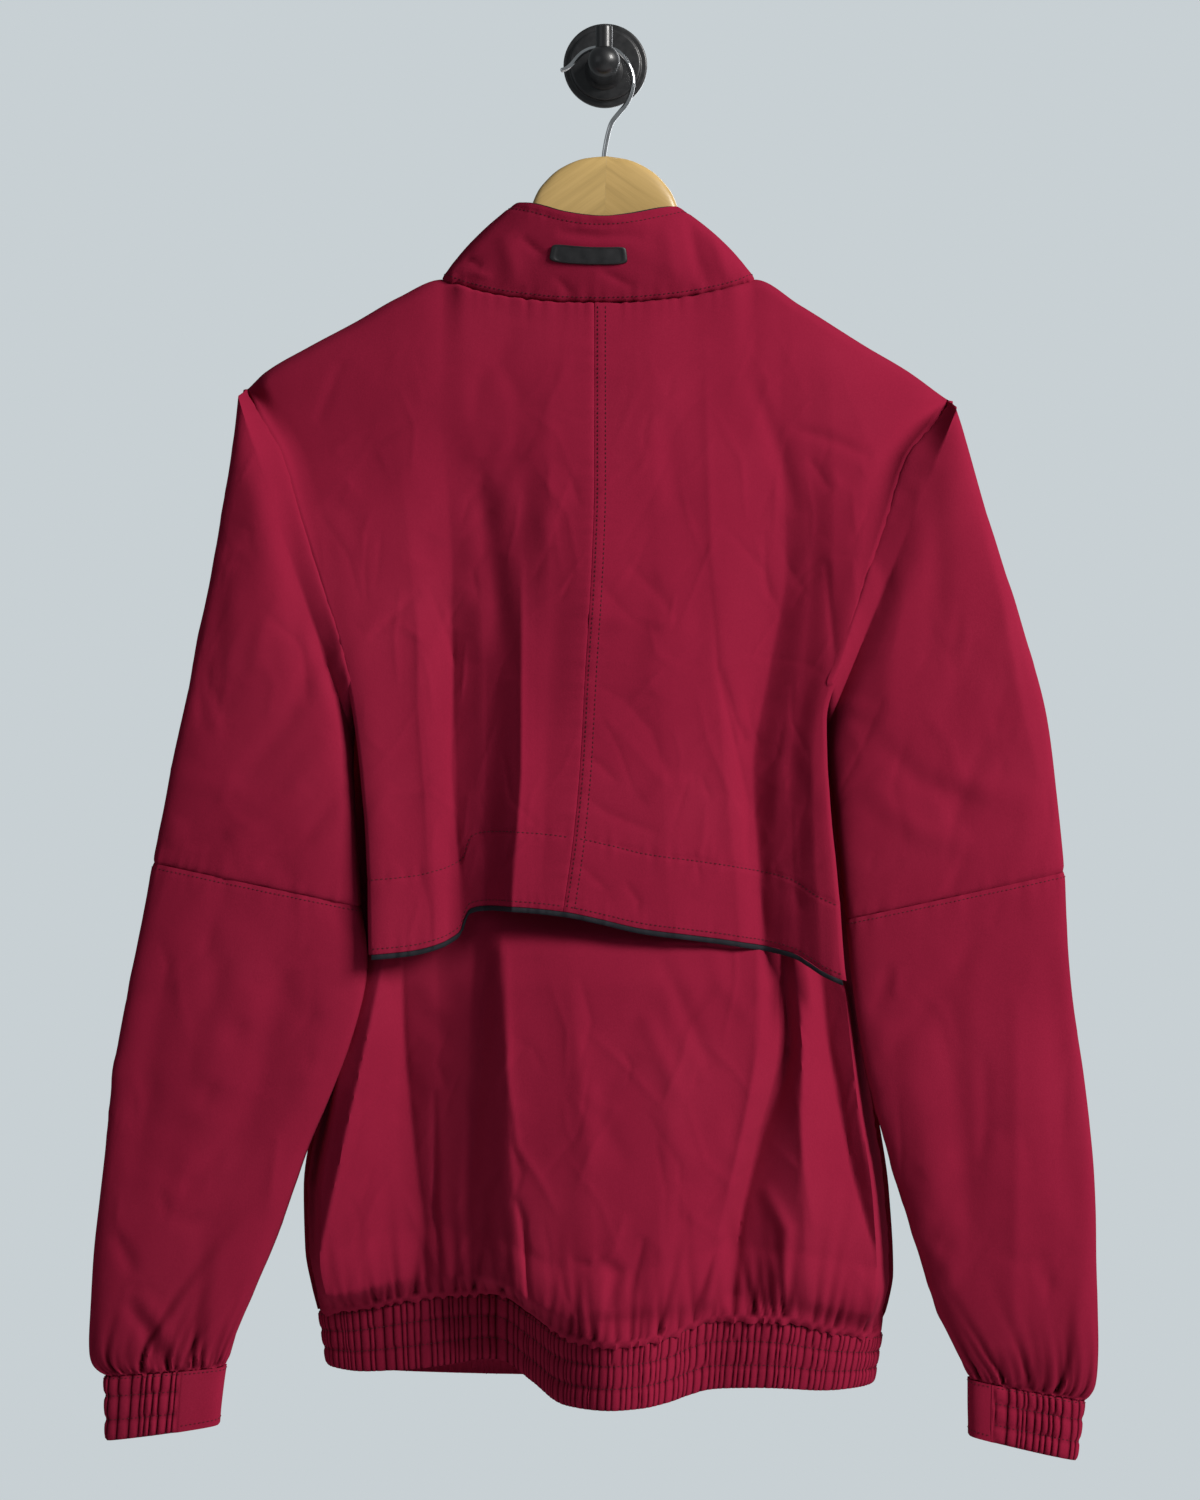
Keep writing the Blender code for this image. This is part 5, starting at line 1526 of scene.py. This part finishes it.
@dataclass
class Collar:
    """The stand collar: its shell, the black facing along its top edge, and a bare rubber label."""

    columns: int = 260  # columns round the collar
    rows: int = 36  # rows up it
    label_rise: float = 1.5  # height of the label's rim above the cloth
    # its creases, on the back
    creases: Sequence[Crease] = (
        soft(-1.5, 3.2, (-31, -117), (-4, -119.5), (24, -119)),
        sharp(-1.4, 2.8, (-55, -118.8), (-46, -127), (-38.8, -131.7)),
        sharp(-1.2, 2.6, (-32.3, -144.5), (-27, -151), (-21.5, -157.3)),
        sharp(-1.2, 2.6, (-3.5, -141.3), (8, -147), (18.9, -152.2)),
        sharp(-1.6, 2.4, (-97, -136), (-88, -133), (-80, -138)),
        sharp(1.2, 2.4, (-92, -143), (-84, -141), (-74, -145)),
        soft(-1.8, 5, (54, -104), (58, -128), (64, -150)),
        soft(1.5, 5, (68, -112), (74, -132), (80, -148)),
        soft(1.0, 6, (38, -110), (42, -132), (44, -152)),
        soft(1.2, 6, (-66, -116), (-60, -136), (-58, -152)),
        soft(0.9, 2.2, (-10, -107.5), (8, -110), (28, -110)),
    )

    def surface(self, stations: Array, heights: Array) -> Grid:
        """The collar's outer face at row numbers of COLLAR and shares of its height.

        A straight line joins the neck seam to the top edge, and bulges out as 4 * t * (1 - t).

        Args:
            stations: Row numbers along the collar.
            heights: Shares of its height, 0 at the neck seam.

        Returns:
            The face.
        """
        rows = COLLAR.along(stations)
        neck, top = rows[:, :3], rows[:, 3:]
        t = heights[:, None, None]
        grid = Grid(neck + (top - neck) * t, COLLAR_AXIS)
        ends = eased(np.minimum(stations, len(COLLAR.rows) - 1 - stations) / 2)
        grid = grid.moved(COLLAR_BULGE * 4 * (heights * (1 - heights))[:, None] * ends)
        x, y, z = np.moveaxis(grid.points, 2, 0)
        behind = eased((-36 - y) / 6)
        height = np.linalg.norm(top - neck, axis=1)
        from_seam, from_top = heights[:, None] * height, (1 - heights)[:, None] * height
        relief = pressed(x, z, self.creases) * behind + 0.5 * wander(x + 2 * z, 26, 91)
        relief += sewn(from_seam, x, 93, 0.3, 0.55)
        stitched = np.exp(-(((from_top - 6.4) / 1.2) ** 2))
        relief += -0.4 * stitched + 0.3 * wander(x, 3.8, 95) * np.exp(-np.abs(from_top - 6.4) / 4)
        roll = 1.1 * (1 - np.sqrt(np.clip(1 - (1 - from_top / 2.2).clip(0, 1) ** 2, 0, 1)))
        return grid.moved((relief - roll) * eased(from_top / 2.0 + 0.15))

    def label(self) -> Object:
        """The label: a rounded rectangle of rubber with a raised rim, bare inside it.

        Its rings run from the middle of the front over the rim and the edge to the middle of the back.
        A ring is a superellipse, |u|**7 + |v|**7 = rho**7.

        Returns:
            The object.
        """
        angles = circle(96)
        u, v = powered(np.cos(angles), 2 / 7), powered(np.sin(angles), 2 / 7)
        rho = np.array([0.02, 0.3, 0.6, 0.8, 0.85, 0.88, 0.91, 0.94, 0.97, 0.99, 1.0, 1.0, 0.985, 0.6, 0.02])
        high = np.array([0.62, 0.62, 0.62, 0.62, 0.64, 0.86, 1.0, 1.0, 0.93, 0.72, 0.45, 0.1, 0, 0, 0])
        stations = (LABEL_FROM + LABEL_TO) / 2 + (LABEL_TO - LABEL_FROM) / 2 * rho[:, None] * u
        heights = (LABEL_LOW + LABEL_HIGH) / 2 + (LABEL_HIGH - LABEL_LOW) / 2 * rho[:, None] * v
        rows = COLLAR.along(stations.ravel())
        neck, top = rows[:, :3], rows[:, 3:]
        t = heights.reshape(-1, 1)
        face = neck + (top - neck) * t
        direction = np.array((0.0, -0.965, 0.26))
        out = COLLAR_BULGE * 4 * t * (1 - t) + 0.5 + high.repeat(len(angles))[:, None] * self.label_rise
        points = (face + direction * out).reshape(len(rho), len(angles), 3)
        return lofted("collar_label_rubber", points)

    def build(self) -> None:
        """Makes the shell, the facing, the label and the stitches."""
        stations = np.linspace(0, len(COLLAR.rows) - 1, self.columns)
        outer = self.surface(stations, np.linspace(0, 0.985, self.rows))
        piece = dress(shell("collar_cloth", outer.tucked(0, 0, 2.4, 1.8), SHELL), CLOTH, ["collar_shell"])
        inner = self.surface(stations, np.linspace(0.03, 1.0, 16))
        inner = inner.moved(np.full(inner.points.shape[:2], -SHELL - 0.45))
        piece = dress(shell("collar_facing_cloth", inner, FACING), TAPE, ["collar_facing"])
        dress(self.label(), RUBBER, ["collar_label"])
        column = np.arange(2, self.columns - 2, dtype=float)
        lines = [outer.above_end(column, 5.6), outer.below_top(column, 2.6)]
        dress(Stitching().build("collar_stitches", lines), THREAD)


# ---- sleeves


@dataclass(frozen=True)
class Side:
    """What differs between the left and the right sleeve."""

    word: str  # left or right, as the viewer sees it
    sign: int  # -1 or 1
    upper: Chart  # rings of the upper sleeve
    lower: Chart  # rings of the lower sleeve
    cuff: Chart  # rings of the cuff
    plain: float  # half of the angle that the cuff's plain part takes
    upper_creases: Sequence[Crease]  # creases on the back of the upper sleeve
    lower_creases: Sequence[Crease]  # creases on the back of the lower sleeve
    # gathers above the cuff, listed one by one, in millimetres round the ring
    tucks: Sequence[tuple[float, ...]]
    seed: int  # seed of this sleeve's small creases


LEFT = Side(
    "left", -1, UPPER_LEFT, LOWER_LEFT, CUFF_LEFT, PLAIN_LEFT,
    (
        soft(2.2, 12, (-222, -250), (-216, -320), (-222, -400)),
        soft(-2.6, 8, (-205, -290), (-196, -350), (-190, -420)),
        soft(-2.2, 8, (-236, -300), (-246, -370), (-256, -440)),
        soft(-2.4, 7, (-180, -380), (-200, -430), (-232, -470)),
        soft(2.2, 8, (-172, -440), (-200, -480), (-240, -505)),
        soft(-2.2, 6, (-165, -470), (-190, -505), (-220, -522)),
    ),
    (
        sharp(-1.6, 2.6, (-283, -724), (-280, -735), (-276, -745)),
        soft(-1.8, 4, (-274, -746), (-259, -748), (-244, -747)),
        sharp(2.4, 4, (-207, -691), (-212, -725), (-212, -736), (-219, -743)),
        soft(-2.4, 5, (-311, -755), (-304, -770), (-298, -782)),
        soft(-3.4, 5, (-306, -798), (-292, -816), (-283, -840), (-278, -846)),
        soft(2.2, 6, (-298, -790), (-284, -812), (-272, -838)),
        soft(2.6, 14, (-230, -560), (-246, -640), (-262, -720)),
        soft(-2.8, 10, (-200, -570), (-216, -650), (-240, -730)),
        soft(-2.4, 10, (-276, -570), (-290, -650), (-300, -730)),
        soft(2.0, 9, (-170, -600), (-190, -660), (-210, -700)),
    ),
    ((26, 24, 2.8, 0.1), (48, 40, 3.2, 0.35), (70, 22, 2.6, 0.1), (92, 34, 3.0, -0.2), (112, 20, 2.4, 0.0)),
    101,
)
RIGHT = Side(
    "right", 1, UPPER_RIGHT, LOWER_RIGHT, CUFF_RIGHT, PLAIN_RIGHT,
    (
        sharp(3.0, 8, (237, -300), (250, -351), (262, -416), (276, -473)),
        soft(-1.4, 6, (219, -466), (222, -482), (223, -498)),
        sharp(-1.0, 3, (205, -372), (217, -389), (226, -368)),
        soft(-2.6, 9, (208, -270), (210, -330), (206, -400)),
        soft(2.2, 9, (190, -330), (180, -390), (176, -450)),
        soft(-2.4, 7, (170, -440), (200, -470), (240, -484)),
        soft(2.2, 8, (166, -470), (198, -500), (240, -512)),
    ),
    (
        sharp(3.4, 9, (259, -600), (260, -710), (259, -823)),
        soft(-1.8, 5, (239, -641), (240, -675), (239, -707)),
        soft(-2.6, 10, (280, -570), (288, -650), (290, -740)),
        soft(-2.8, 9, (215, -600), (224, -680), (232, -760)),
        soft(2.2, 10, (190, -620), (200, -690), (214, -760)),
        soft(-2.0, 6, (236, -560), (222, -590), (196, -610)),
    ),
    ((22, 22, 2.8, 0.0), (44, 36, 3.2, -0.2), (66, 26, 2.8, 0.1), (88, 30, 3.0, 0.2), (110, 20, 2.4, 0.0)),
    103,
)


def ring(row: Array, angles: Array) -> Array:
    """Closed sections of a sleeve or cuff.

    A section runs between its outer and inner points as the cosine of the angle, and comes out toward
    the viewer by |sine|**0.34 and toward the wall by |sine| of its depth there.

    Args:
        row: Rows of a table of rings, (rows, columns).
        angles: Angles round the ring, 0 at the outer point and growing round the back.

    Returns:
        The points, (rows, angles, xyz).
    """
    outer, inner = row[:, None, :3], row[:, None, 3:6]
    cosine, sine = np.cos(angles), np.sin(angles)
    made = (outer + inner) / 2 + (outer - inner) / 2 * cosine[None, :, None]
    reach = np.where(sine > 0, row[:, 6:7], row[:, 7:8]) - made[..., 1]
    made[..., 1] += reach * np.abs(sine) ** np.where(sine > 0, SQUARE_BACK, SQUARE_WALL)
    return made


@dataclass
class Sleeve:
    """A sleeve in two pieces that meet at the elbow seam, and its cuff, part shirred and part plain."""

    side: Side  # which sleeve
    around: int = 148  # points round a ring
    upper_rows: int = 80  # rings of the upper piece
    lower_rows: int = 96  # rings of the lower piece
    cuff_columns: int = 404  # columns along the shirred part
    plain_columns: int = 90  # columns along the plain part
    cuff_rows: int = 16  # rows down the cuff
    pitch: float = 5.4  # mean distance between the shirring's grooves

    def armhole(self, angles: Array) -> Array:
        """The first ring: the edges of the cape and of the front, a seam's gap away.

        Args:
            angles: Angles round the ring.

        Returns:
            The ring's points.
        """
        cape, seam = (CAPE_LEFT, SIDE_LEFT) if self.side.sign < 0 else (CAPE_RIGHT, SIDE_RIGHT)
        top = cape.data[0, 0]
        z = top + (UNDERARM_Z - top) * (1 - np.cos(angles)) / 2
        behind = np.sin(angles) >= 0
        middle_x = (cape.at("x", z) + seam.at("x", z)) / 2
        middle_y = (cape.at("y", z) + seam.at("y", z)) / 2
        x = np.where(behind, cape.at("x", z), seam.at("x", z))
        y = np.where(behind, cape.at("y", z) - 1.0, seam.at("y", z) + SEAM_FRONT)
        x = middle_x + (x - middle_x) * eased((z - UNDERARM_Z) / 4) + self.side.sign * 0.4
        return np.stack([x, middle_y + (y - middle_y) * eased((z - UNDERARM_Z) / 26), z], axis=1)

    def upper_face(self) -> Grid:
        """The upper piece's outer face: the armhole, then the table's rings."""
        angles = circle(self.around)
        chart = self.side.upper
        joining = 11  # rows from the armhole to the table's first ring
        at = np.linspace(0, len(chart.rows) - 1, self.upper_rows - joining)
        rings = ring(chart.along(at), angles)
        start = self.armhole(angles)
        share = np.linspace(0, 1, joining + 1)[:-1, None, None]
        joined = np.concatenate([start + (rings[0] - start) * share, rings])
        grid = Grid(joined, joined.mean(axis=1, keepdims=True), True)
        return self.relieved(grid, self.side.upper_creases, 0)

    def lower_face(self) -> tuple[Grid, Array]:
        """The lower piece's outer face, gathered into the cuff, and how deep each point lies in a slit, as a
        mask of painted shade.
        """
        angles = circle(self.around)
        chart = self.side.lower
        rings = ring(chart.along(np.linspace(0, len(chart.rows) - 1, self.lower_rows)), angles)
        grid = Grid(rings, rings.mean(axis=1, keepdims=True), True)
        grid = self.relieved(grid, self.side.lower_creases, 40)
        above = grid.drop[-1:] - grid.drop
        round_it = grid.run / grid.run[:, -1:] * 250
        gathers = Gathers(self.side.tucks, self.side.seed + 7, (4, 246), 40).out(round_it, above)
        # The tucks' depth is returned as the mask of painted shade.
        return grid.moved(gathers), -gathers / 2.4

    def relieved(self, grid: Grid, creases: Sequence[Crease], shift: int) -> Grid:
        """Presses creases into a sleeve's back and wall side, and works its two sewn ends.

        Args:
            grid: The plain face.
            creases: Creases on the back.
            shift: Added to the seeds.

        Returns:
            The face.
        """
        x, y, z = np.moveaxis(grid.points, 2, 0)
        low = (float(x.min()) + 12, float(z.min()) + 15)
        high = (float(x.max()) - 12, float(z.max()) - 15)
        seed = self.side.seed + shift
        back = 0.6 * pressed(x, z, creases) + pressed(x, z, rumples(seed, low, high, 50, 1.2))
        wall = pressed(x, z, rumples(seed + 1, low, high, 34, 1.1)) * 1.6
        share = eased(0.5 - grid.outward[..., 1] * 1.6)
        ends = [sewn(grid.drop, grid.run, seed + 3, 0.9, 0.5)]
        ends.append(sewn(grid.drop[-1:] - grid.drop, grid.run, seed + 5, 0.9, 0.5))
        return grid.moved(back * share + wall * (1 - share) + sum(ends))

    def cuff_face(self, first: float, last: float, columns: int) -> Grid:
        """A part of the cuff between two angles.

        Args:
            first: Angle of the first column.
            last: Angle of the last.
            columns: How many.

        Returns:
            The face.
        """
        data = self.side.cuff.along(np.linspace(0, 2, self.cuff_rows))
        points = ring(data, np.linspace(first, last, columns))
        return Grid(points, (data[:, None, :3] + data[:, None, 3:6]) / 2)

    def cuff_parts(self) -> tuple[Grid, Array, Grid]:
        """The cuff's two parts.

        Returns:
            The shirred part, how deep its points lie in slits, 0 to 1, as a mask of painted shade, and the
            plain part.
        """
        seam = pi - self.side.plain
        face = self.cuff_face(CUFF_SEAM - seam, seam - CUFF_SEAM, self.cuff_columns)
        down = np.linspace(0, 1, self.cuff_rows)[:, None] + 0 * face.run
        ribs, slits = shirring(self.side.seed + 11, face.run[0, -1], self.pitch, 3, face.run, down, 5.0)
        ends = eased(np.minimum(face.run, face.run[:, -1:] - face.run) / 4)
        shirred = face.moved((ribs * (0.85 + 0.3 * wander(face.run, 11, 5)) - 0.7) * 3.0 * ends)
        flat = self.cuff_face(seam + CUFF_SEAM, pi + self.side.plain - CUFF_SEAM, self.plain_columns)
        plain = flat.moved(0.35 * wander(flat.run, 14, self.side.seed + 13) + 0.2 * wander(flat.drop, 9, 6))
        # The slits' mask goes to the finish as painted shade.
        return shirred, slits * ends, plain

    def build(self) -> None:
        """Makes both pieces, the cuff's two parts and the rows of stitches."""
        word = self.side.word
        upper, (lower, hollow) = self.upper_face(), self.lower_face()
        face = upper.tucked(0, 0, 3.0, 2.4).tucked(0, -1)
        face.points[0, :, 2] = np.minimum(face.points[0, :, 2], face.points[1, :, 2] - 0.3)
        piece = dress(shell(f"sleeve_upper_cloth_{word}", face, SHELL), CLOTH, [f"sleeve_upper_{word}"])
        face, hollow = lower.tucked(0, -1, 3.0, 2.4), np.pad(hollow, ((0, 1), (0, 0)), "edge")
        piece = shell(f"sleeve_lower_cloth_{word}", face, SHELL, hollow)
        dress(piece, CLOTH, [f"sleeve_lower_{word}"])
        shirred, slits, plain = self.cuff_parts()
        piece = shell(f"cuff_shirred_cloth_{word}", shirred, BAND_WALL, slits)
        dress(piece, CLOTH, [f"cuff_shirred_{word}"])
        face = plain.tucked(1, 0, 3.0, 1.6).tucked(1, -1, 3.0, 1.6)
        piece = dress(shell(f"cuff_plain_cloth_{word}", face, PLAIN_WALL), CLOTH, [f"cuff_plain_{word}"])
        column = np.arange(self.around + 1, dtype=float)
        lines = [lower.below_top(column, 3.0)]
        column = np.arange(1, self.cuff_columns - 1, dtype=float)
        lines += [shirred.at(0 * column + (self.cuff_rows - 1) * at, column) for at in (0.06, 1 / 3, 2 / 3)]
        column = np.arange(1, self.plain_columns - 1, dtype=float)
        lines += [plain.above_end(column, 4.0), plain.below_top(column, 1.6)]
        dress(Stitching(2.8, 2.0, 0.26).build(f"sleeve_stitches_{word}", lines), THREAD)


# ---- zip


@dataclass
class Zip:
    """The closed zip behind the fronts: tapes, two rows of teeth, and the slider with its pull."""

    top: float = -127.5  # height of the first tooth
    low: float = -853.0  # height of the last
    middle_y: float = -16.0  # depth of the teeth's middle
    pitch: float = 2.5  # distance between two teeth of a row
    reach: float = 2.7  # how far a tooth reaches out from the zip's middle
    over: float = 0.85  # how far it reaches past the middle

    def teeth(self) -> Object:
        """Two rows of teeth, the right one half a pitch lower than the left.

        A tooth is a block of eight corners, thinner at its nib.

        Returns:
            The object.
        """
        count = int((self.top - self.low) / self.pitch)
        levels = self.top - 0.8 - self.pitch * np.arange(count)
        blocks = []
        for side in (-1, 1):
            outer, nib = side * self.reach, -side * self.over
            shape = [(outer, 1.7, 0.62), (outer, -1.7, 0.62), (nib, -1.35, 0.8), (nib, 1.35, 0.8)]
            ends = [[(x, y, sign * half) for x, y, half in shape] for sign in (-1, 1)]
            block = np.array(ends).reshape(8, 3) + (CENTRE_FRONT, self.middle_y, 0)
            shift = levels - (self.pitch / 2 if side > 0 else 0)
            made = block[None] + np.stack([0 * shift, 0 * shift, shift], axis=1)[:, None]
            walls = [[k, k + 4, (k + 1) % 4 + 4, (k + 1) % 4] for k in range(4)]
            faces = np.array([[0, 1, 2, 3], [7, 6, 5, 4], *walls])
            blocks.append((made.reshape(-1, 3), faces if side > 0 else faces[:, ::-1]))
        corners = []
        for index, (made, faces) in enumerate(blocks):
            first = index * len(blocks[0][0])
            corners.append((faces[None] + np.arange(count)[:, None, None] * 8 + first).reshape(-1, 4))
        points = np.concatenate([made for made, _ in blocks])
        return mesh_of("zip_teeth", points, np.concatenate(corners), None, 0.5)

    def build(self, nodes: Mapping[str, Object]) -> None:
        """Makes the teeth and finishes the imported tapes, slider and pull.

        Args:
            nodes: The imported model's nodes.
        """
        dress(self.teeth(), NICKEL, ["zip_chain"])
        finishes = {"zip_tape_left": TAPE, "zip_tape_right": TAPE, "zip_slider": NICKEL, "zip_pull": NICKEL}
        for name, finish in finishes.items():
            repaint(nodes[name], finish)


def repaint(node: Object, finish: Finish) -> None:
    """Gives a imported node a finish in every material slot."""
    for material_slot in node.material_slots:
        material_slot.link = "OBJECT"
        material_slot.material = finish.material


# ---- hanger and wall hook


def rounded(points: Sequence[tuple[float, float, float]]) -> Array:
    """A profile with its corners rounded.

    Args:
        points: (y, radius, rounding) of each corner; a corner's arc is a quadratic curve between the
            points a rounding's length before and after it.

    Returns:
        The profile's points, (n, 2).
    """
    made = []
    corners = np.array(points)
    for i, (y, radius, size) in enumerate(corners):
        here = np.array((y, radius))
        if size <= 0 or i in (0, len(corners) - 1):
            made.append(here[None])
            continue
        before, after = corners[i - 1, :2] - here, corners[i + 1, :2] - here
        a = here + before / np.linalg.norm(before) * min(size, np.linalg.norm(before) / 2)
        b = here + after / np.linalg.norm(after) * min(size, np.linalg.norm(after) / 2)
        t = np.linspace(0, 1, 6)[:, None]
        made.append((1 - t) ** 2 * a + 2 * t * (1 - t) * here + t * t * b)
    return np.concatenate(made)


def lathed(
    name: str, profile: Array, axis: Point, sides: int = 96, upright: bool = False
) -> Object:
    """A solid turned about a line toward the wall, or about an upright one.

    Args:
        name: The object's name.
        profile: (place along the line, radius) points.
        axis: The line's (x, z), or (x, y) where it is upright.
        sides: Points round it.
        upright: Whether the line is upright.

    Returns:
        The object.
    """
    angles = circle(sides)
    place, radius = profile[:, :1] + 0 * angles, profile[:, 1:]
    first, second = axis[0] + radius * np.cos(angles), axis[1] + radius * np.sin(angles)
    rings = [first, second, place] if upright else [first, place, second]
    return lofted(name, np.stack(rings, axis=2), 0.7)


@dataclass
class Hanger:
    """Two wooden halves glued in the middle, and a round wire hook in a bore on the joint."""

    x: float = -0.9  # the wire's foot
    y: float = -27.0  # the hanger's plane
    top: float = -63.4  # height of its hump
    tilt: float = radians(1.7)  # how far it leans in its plane
    wire: float = 1.5  # radius of the wire
    square: float = 0.85  # below 1, a section is squarer than an ellipse
    stations: int = 110  # sections along a half
    sides: int = 56  # points round a section
    wire_stations: int = 150  # rings along the wire
    wire_sides: int = 24  # points round it

    def half(self, word: str, side: int) -> Object:
        """A half: rounded sections from the joint to the shoulder's end, closed as a quarter circle.

        Args:
            word: left or right.
            side: -1 or 1.

        Returns:
            The object.
        """
        rows = HANGER.along(np.linspace(0, len(HANGER.rows) - 1, self.stations))
        turn = np.linspace(0, pi / 2, 7)[1:]
        closing = np.repeat(rows[-1:], len(turn), axis=0)
        closing[:, 0] += 2.0 * np.sin(turn)
        closing[:, 1] += closing[:, 2] * (1 - np.cos(turn * 0.97)) / 2
        closing[:, 2] *= np.cos(turn * 0.97)
        closing[:, 4] *= np.cos(turn * 0.97)
        rows = np.concatenate([rows, closing])
        angles = circle(self.sides)
        wide, tall = powered(np.cos(angles), self.square), powered(np.sin(angles), self.square)
        out, top, height, y, depth = (rows[:, k : k + 1] for k in range(5))
        z = self.top + top - height / 2 + tall * height / 2
        points = np.stack([side * out + 0 * z, self.y + y + wide * depth / 2, z], axis=2)
        pivot = np.array((0.0, 0.0, self.top - 54.0))
        turned_to = np.array(Matrix.Rotation(self.tilt, 3, "Y"))
        points = (points - pivot) @ turned_to.T + pivot + (self.x, 0, 0)
        return lofted(f"hanger_wood_{word}", points)

    def hook(self) -> Object:
        """The hook: rings round its middle line, which end in a dome at the tip."""
        path = WIRE.along(np.linspace(0, len(WIRE.rows) - 1, self.wire_stations))
        ahead = np.gradient(path, axis=0)
        ahead /= np.linalg.norm(ahead, axis=1, keepdims=True)
        tip = np.linspace(0, pi / 2, 7)[:-1]
        start = path[:1] - ahead[:1] * (self.wire * 0.8 * np.cos(tip))[:, None]
        path = np.concatenate([start, path])
        ahead = np.concatenate([np.repeat(ahead[:1], len(tip), axis=0), ahead])
        even = np.full(self.wire_stations, self.wire)
        radius = np.concatenate([self.wire * np.sin(tip + 0.08), even])[:, None]
        angles = circle(self.wire_sides)
        x = path[:, :1] - ahead[:, 1:] * radius * np.sin(angles)
        z = path[:, 1:] + ahead[:, :1] * radius * np.sin(angles)
        return lofted("hanger_wire_hook", np.stack([x, self.y + radius * np.cos(angles), z], axis=2))

    def build(self) -> None:
        """Makes both halves and the hook."""
        for word, side, wood in (("left", -1, WOOD_LEFT), ("right", 1, WOOD_RIGHT)):
            dress(self.half(word, side), wood, [f"hanger_{word}"])
        dress(self.hook(), CHROME, ["hanger_hook"])


@dataclass
class WallHook:
    """The round wall plate with its step, and the arm that ends in a ball with an upright peg."""

    middle: Point = (-0.9, -4.5)  # the arm's (x, z)
    ball_y: float = -42.0  # depth of the ball's middle
    ball: float = 10.3  # its radius
    arm: float = 9.9  # the arm's radius
    peg: float = 5.5  # the peg's radius
    peg_top: float = 18.0  # its upper end

    def build(self) -> None:
        """Makes the plate, the arm and the peg."""
        rim = [(0, 27.5, 0.3), (-4.4, 27.5, 1.5), (-4.4, 23.3, 0.9), (-8, 23.3, 1.6)]
        plate = [(0, 0.1, 0), *rim, (-8, 0.1, 0)]
        dress(lathed("wall_plate_iron", rounded(plate), (0.0, 0.0), 128), IRON, ["wall_plate"])
        meet = pi / 2 + acos(self.arm / self.ball)
        turns = np.linspace(0.01, meet, 26)
        ball = np.stack([self.ball_y - self.ball * np.cos(turns), self.ball * np.sin(turns)], axis=1)
        foot = np.linspace(0, 1, 9)[:, None]
        arm = np.array([(-16.0, self.arm)]) + foot * (7.7, 0) + foot**2.4 * (0, 2.6)
        dress(lathed("wall_hook_arm", np.concatenate([ball, arm]), self.middle), IRON, ["hook_arm"])
        low, top = self.middle[1], self.peg_top
        peg = rounded([(low - 2, 0.1, 0), (low, self.peg, 0), (top, self.peg, 1.1), (top, 0.1, 0)])
        dress(lathed("wall_hook_peg", peg, (self.middle[0], self.ball_y), 56, upright=True), IRON)


# ---- studio


@dataclass
class Studio:
    """A plain pale room, a soft key light from the upper right, two weaker ones, and the photo's camera."""

    wall: Triple = (0.578, 0.631, 0.658)  # linear colour of the room
    ambient: float = 0.16  # how strongly the room lights the garment
    glossy: float = 0.3  # how strong it is in reflections
    aim: Triple = (-0.01, -0.05, -0.45)  # the point that the lights look at, in metres
    camera: Triple = (-0.0035, -2.3267, -0.449)  # where the camera stands, in metres
    lens: float = 85  # its focal length

    def light(self, name: str, place: Triple, size: float, power: float, colour: Triple) -> None:
        """Adds a square area light that looks at the garment's middle.

        Args:
            name: Its name.
            place: Where it stands, in metres.
            size: Its side.
            power: Watts.
            colour: Linear colour.
        """
        data = bpy.data.lights.new(name, "AREA")
        data.energy, data.size, data.color = power, size, colour
        lamp = bpy.data.objects.new(name, data)
        lamp.location = place
        aim = Vector(self.aim) - lamp.location
        lamp.rotation_euler = aim.to_track_quat("-Z", "Y").to_euler()
        bpy.context.scene.collection.objects.link(lamp)

    def build(self) -> None:
        """Makes the floor, the world, the lights and the camera."""
        scene = bpy.context.scene
        scene.view_settings.view_transform = "Standard"
        floor = lathed("studio_floor", np.array([(-1300, 1450), (-1320, 1450)]), (0, 0), 128, upright=True)
        floor.data.materials.append(Finish("", "pale floor", (0.6, 0.61, 0.62), 0.8).material)
        floor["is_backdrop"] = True
        world = bpy.data.worlds.new("pale room")
        world.use_nodes = True
        background = world.node_tree.nodes["Background"]
        background.inputs["Color"].default_value = (*self.wall, 1)
        path, level = world.node_tree.nodes.new("ShaderNodeLightPath"), None
        for kind, strength in (("Is Glossy Ray", self.glossy), ("Is Camera Ray", 1.0)):
            choice = world.node_tree.nodes.new("ShaderNodeMapRange")
            choice.inputs["To Min"].default_value = self.ambient
            choice.inputs["To Max"].default_value = strength
            world.node_tree.links.new(path.outputs[kind], choice.inputs["Value"])
            if level is not None:
                world.node_tree.links.new(level, choice.inputs["To Min"])
            level = choice.outputs[0]
        world.node_tree.links.new(level, background.inputs["Strength"])
        scene.world = world
        self.light("key", (2.8, -1.95, 1.3), 1.4, 197, (1.0, 0.985, 0.96))
        self.light("fill", (-2.0, -2.0, 0.2), 1.8, 5, (0.9, 0.95, 1.0))
        self.light("wall side", (0.9, 2.6, 0.5), 2.0, 42, (0.95, 0.97, 1.0))
        data = bpy.data.cameras.new("photo camera")
        data.lens, data.sensor_width, data.sensor_fit = self.lens, 36, "AUTO"
        camera = bpy.data.objects.new("photo camera", data)
        camera.location = self.camera
        camera.rotation_euler = (pi / 2, 0, 0)
        scene.collection.objects.link(camera)
        scene.camera = camera


def main() -> None:
    """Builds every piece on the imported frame."""
    logging.basicConfig(level=logging.INFO, format="%(message)s")
    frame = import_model()
    back = Back()
    back.build_cape()
    back.build_lower()
    Fronts().build()
    Waistband().build()
    Collar().build()
    for side in (LEFT, RIGHT):
        Sleeve(side).build()
    Zip().build(frame["nodes"])
    Hanger().build()
    WallHook().build()
    Studio().build()
    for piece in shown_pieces():
        LOG.info("%s: %.4f m2", piece.name, sheet_area(piece) if piece.type == "MESH" else 0)


if __name__ == "__main__":
    main()
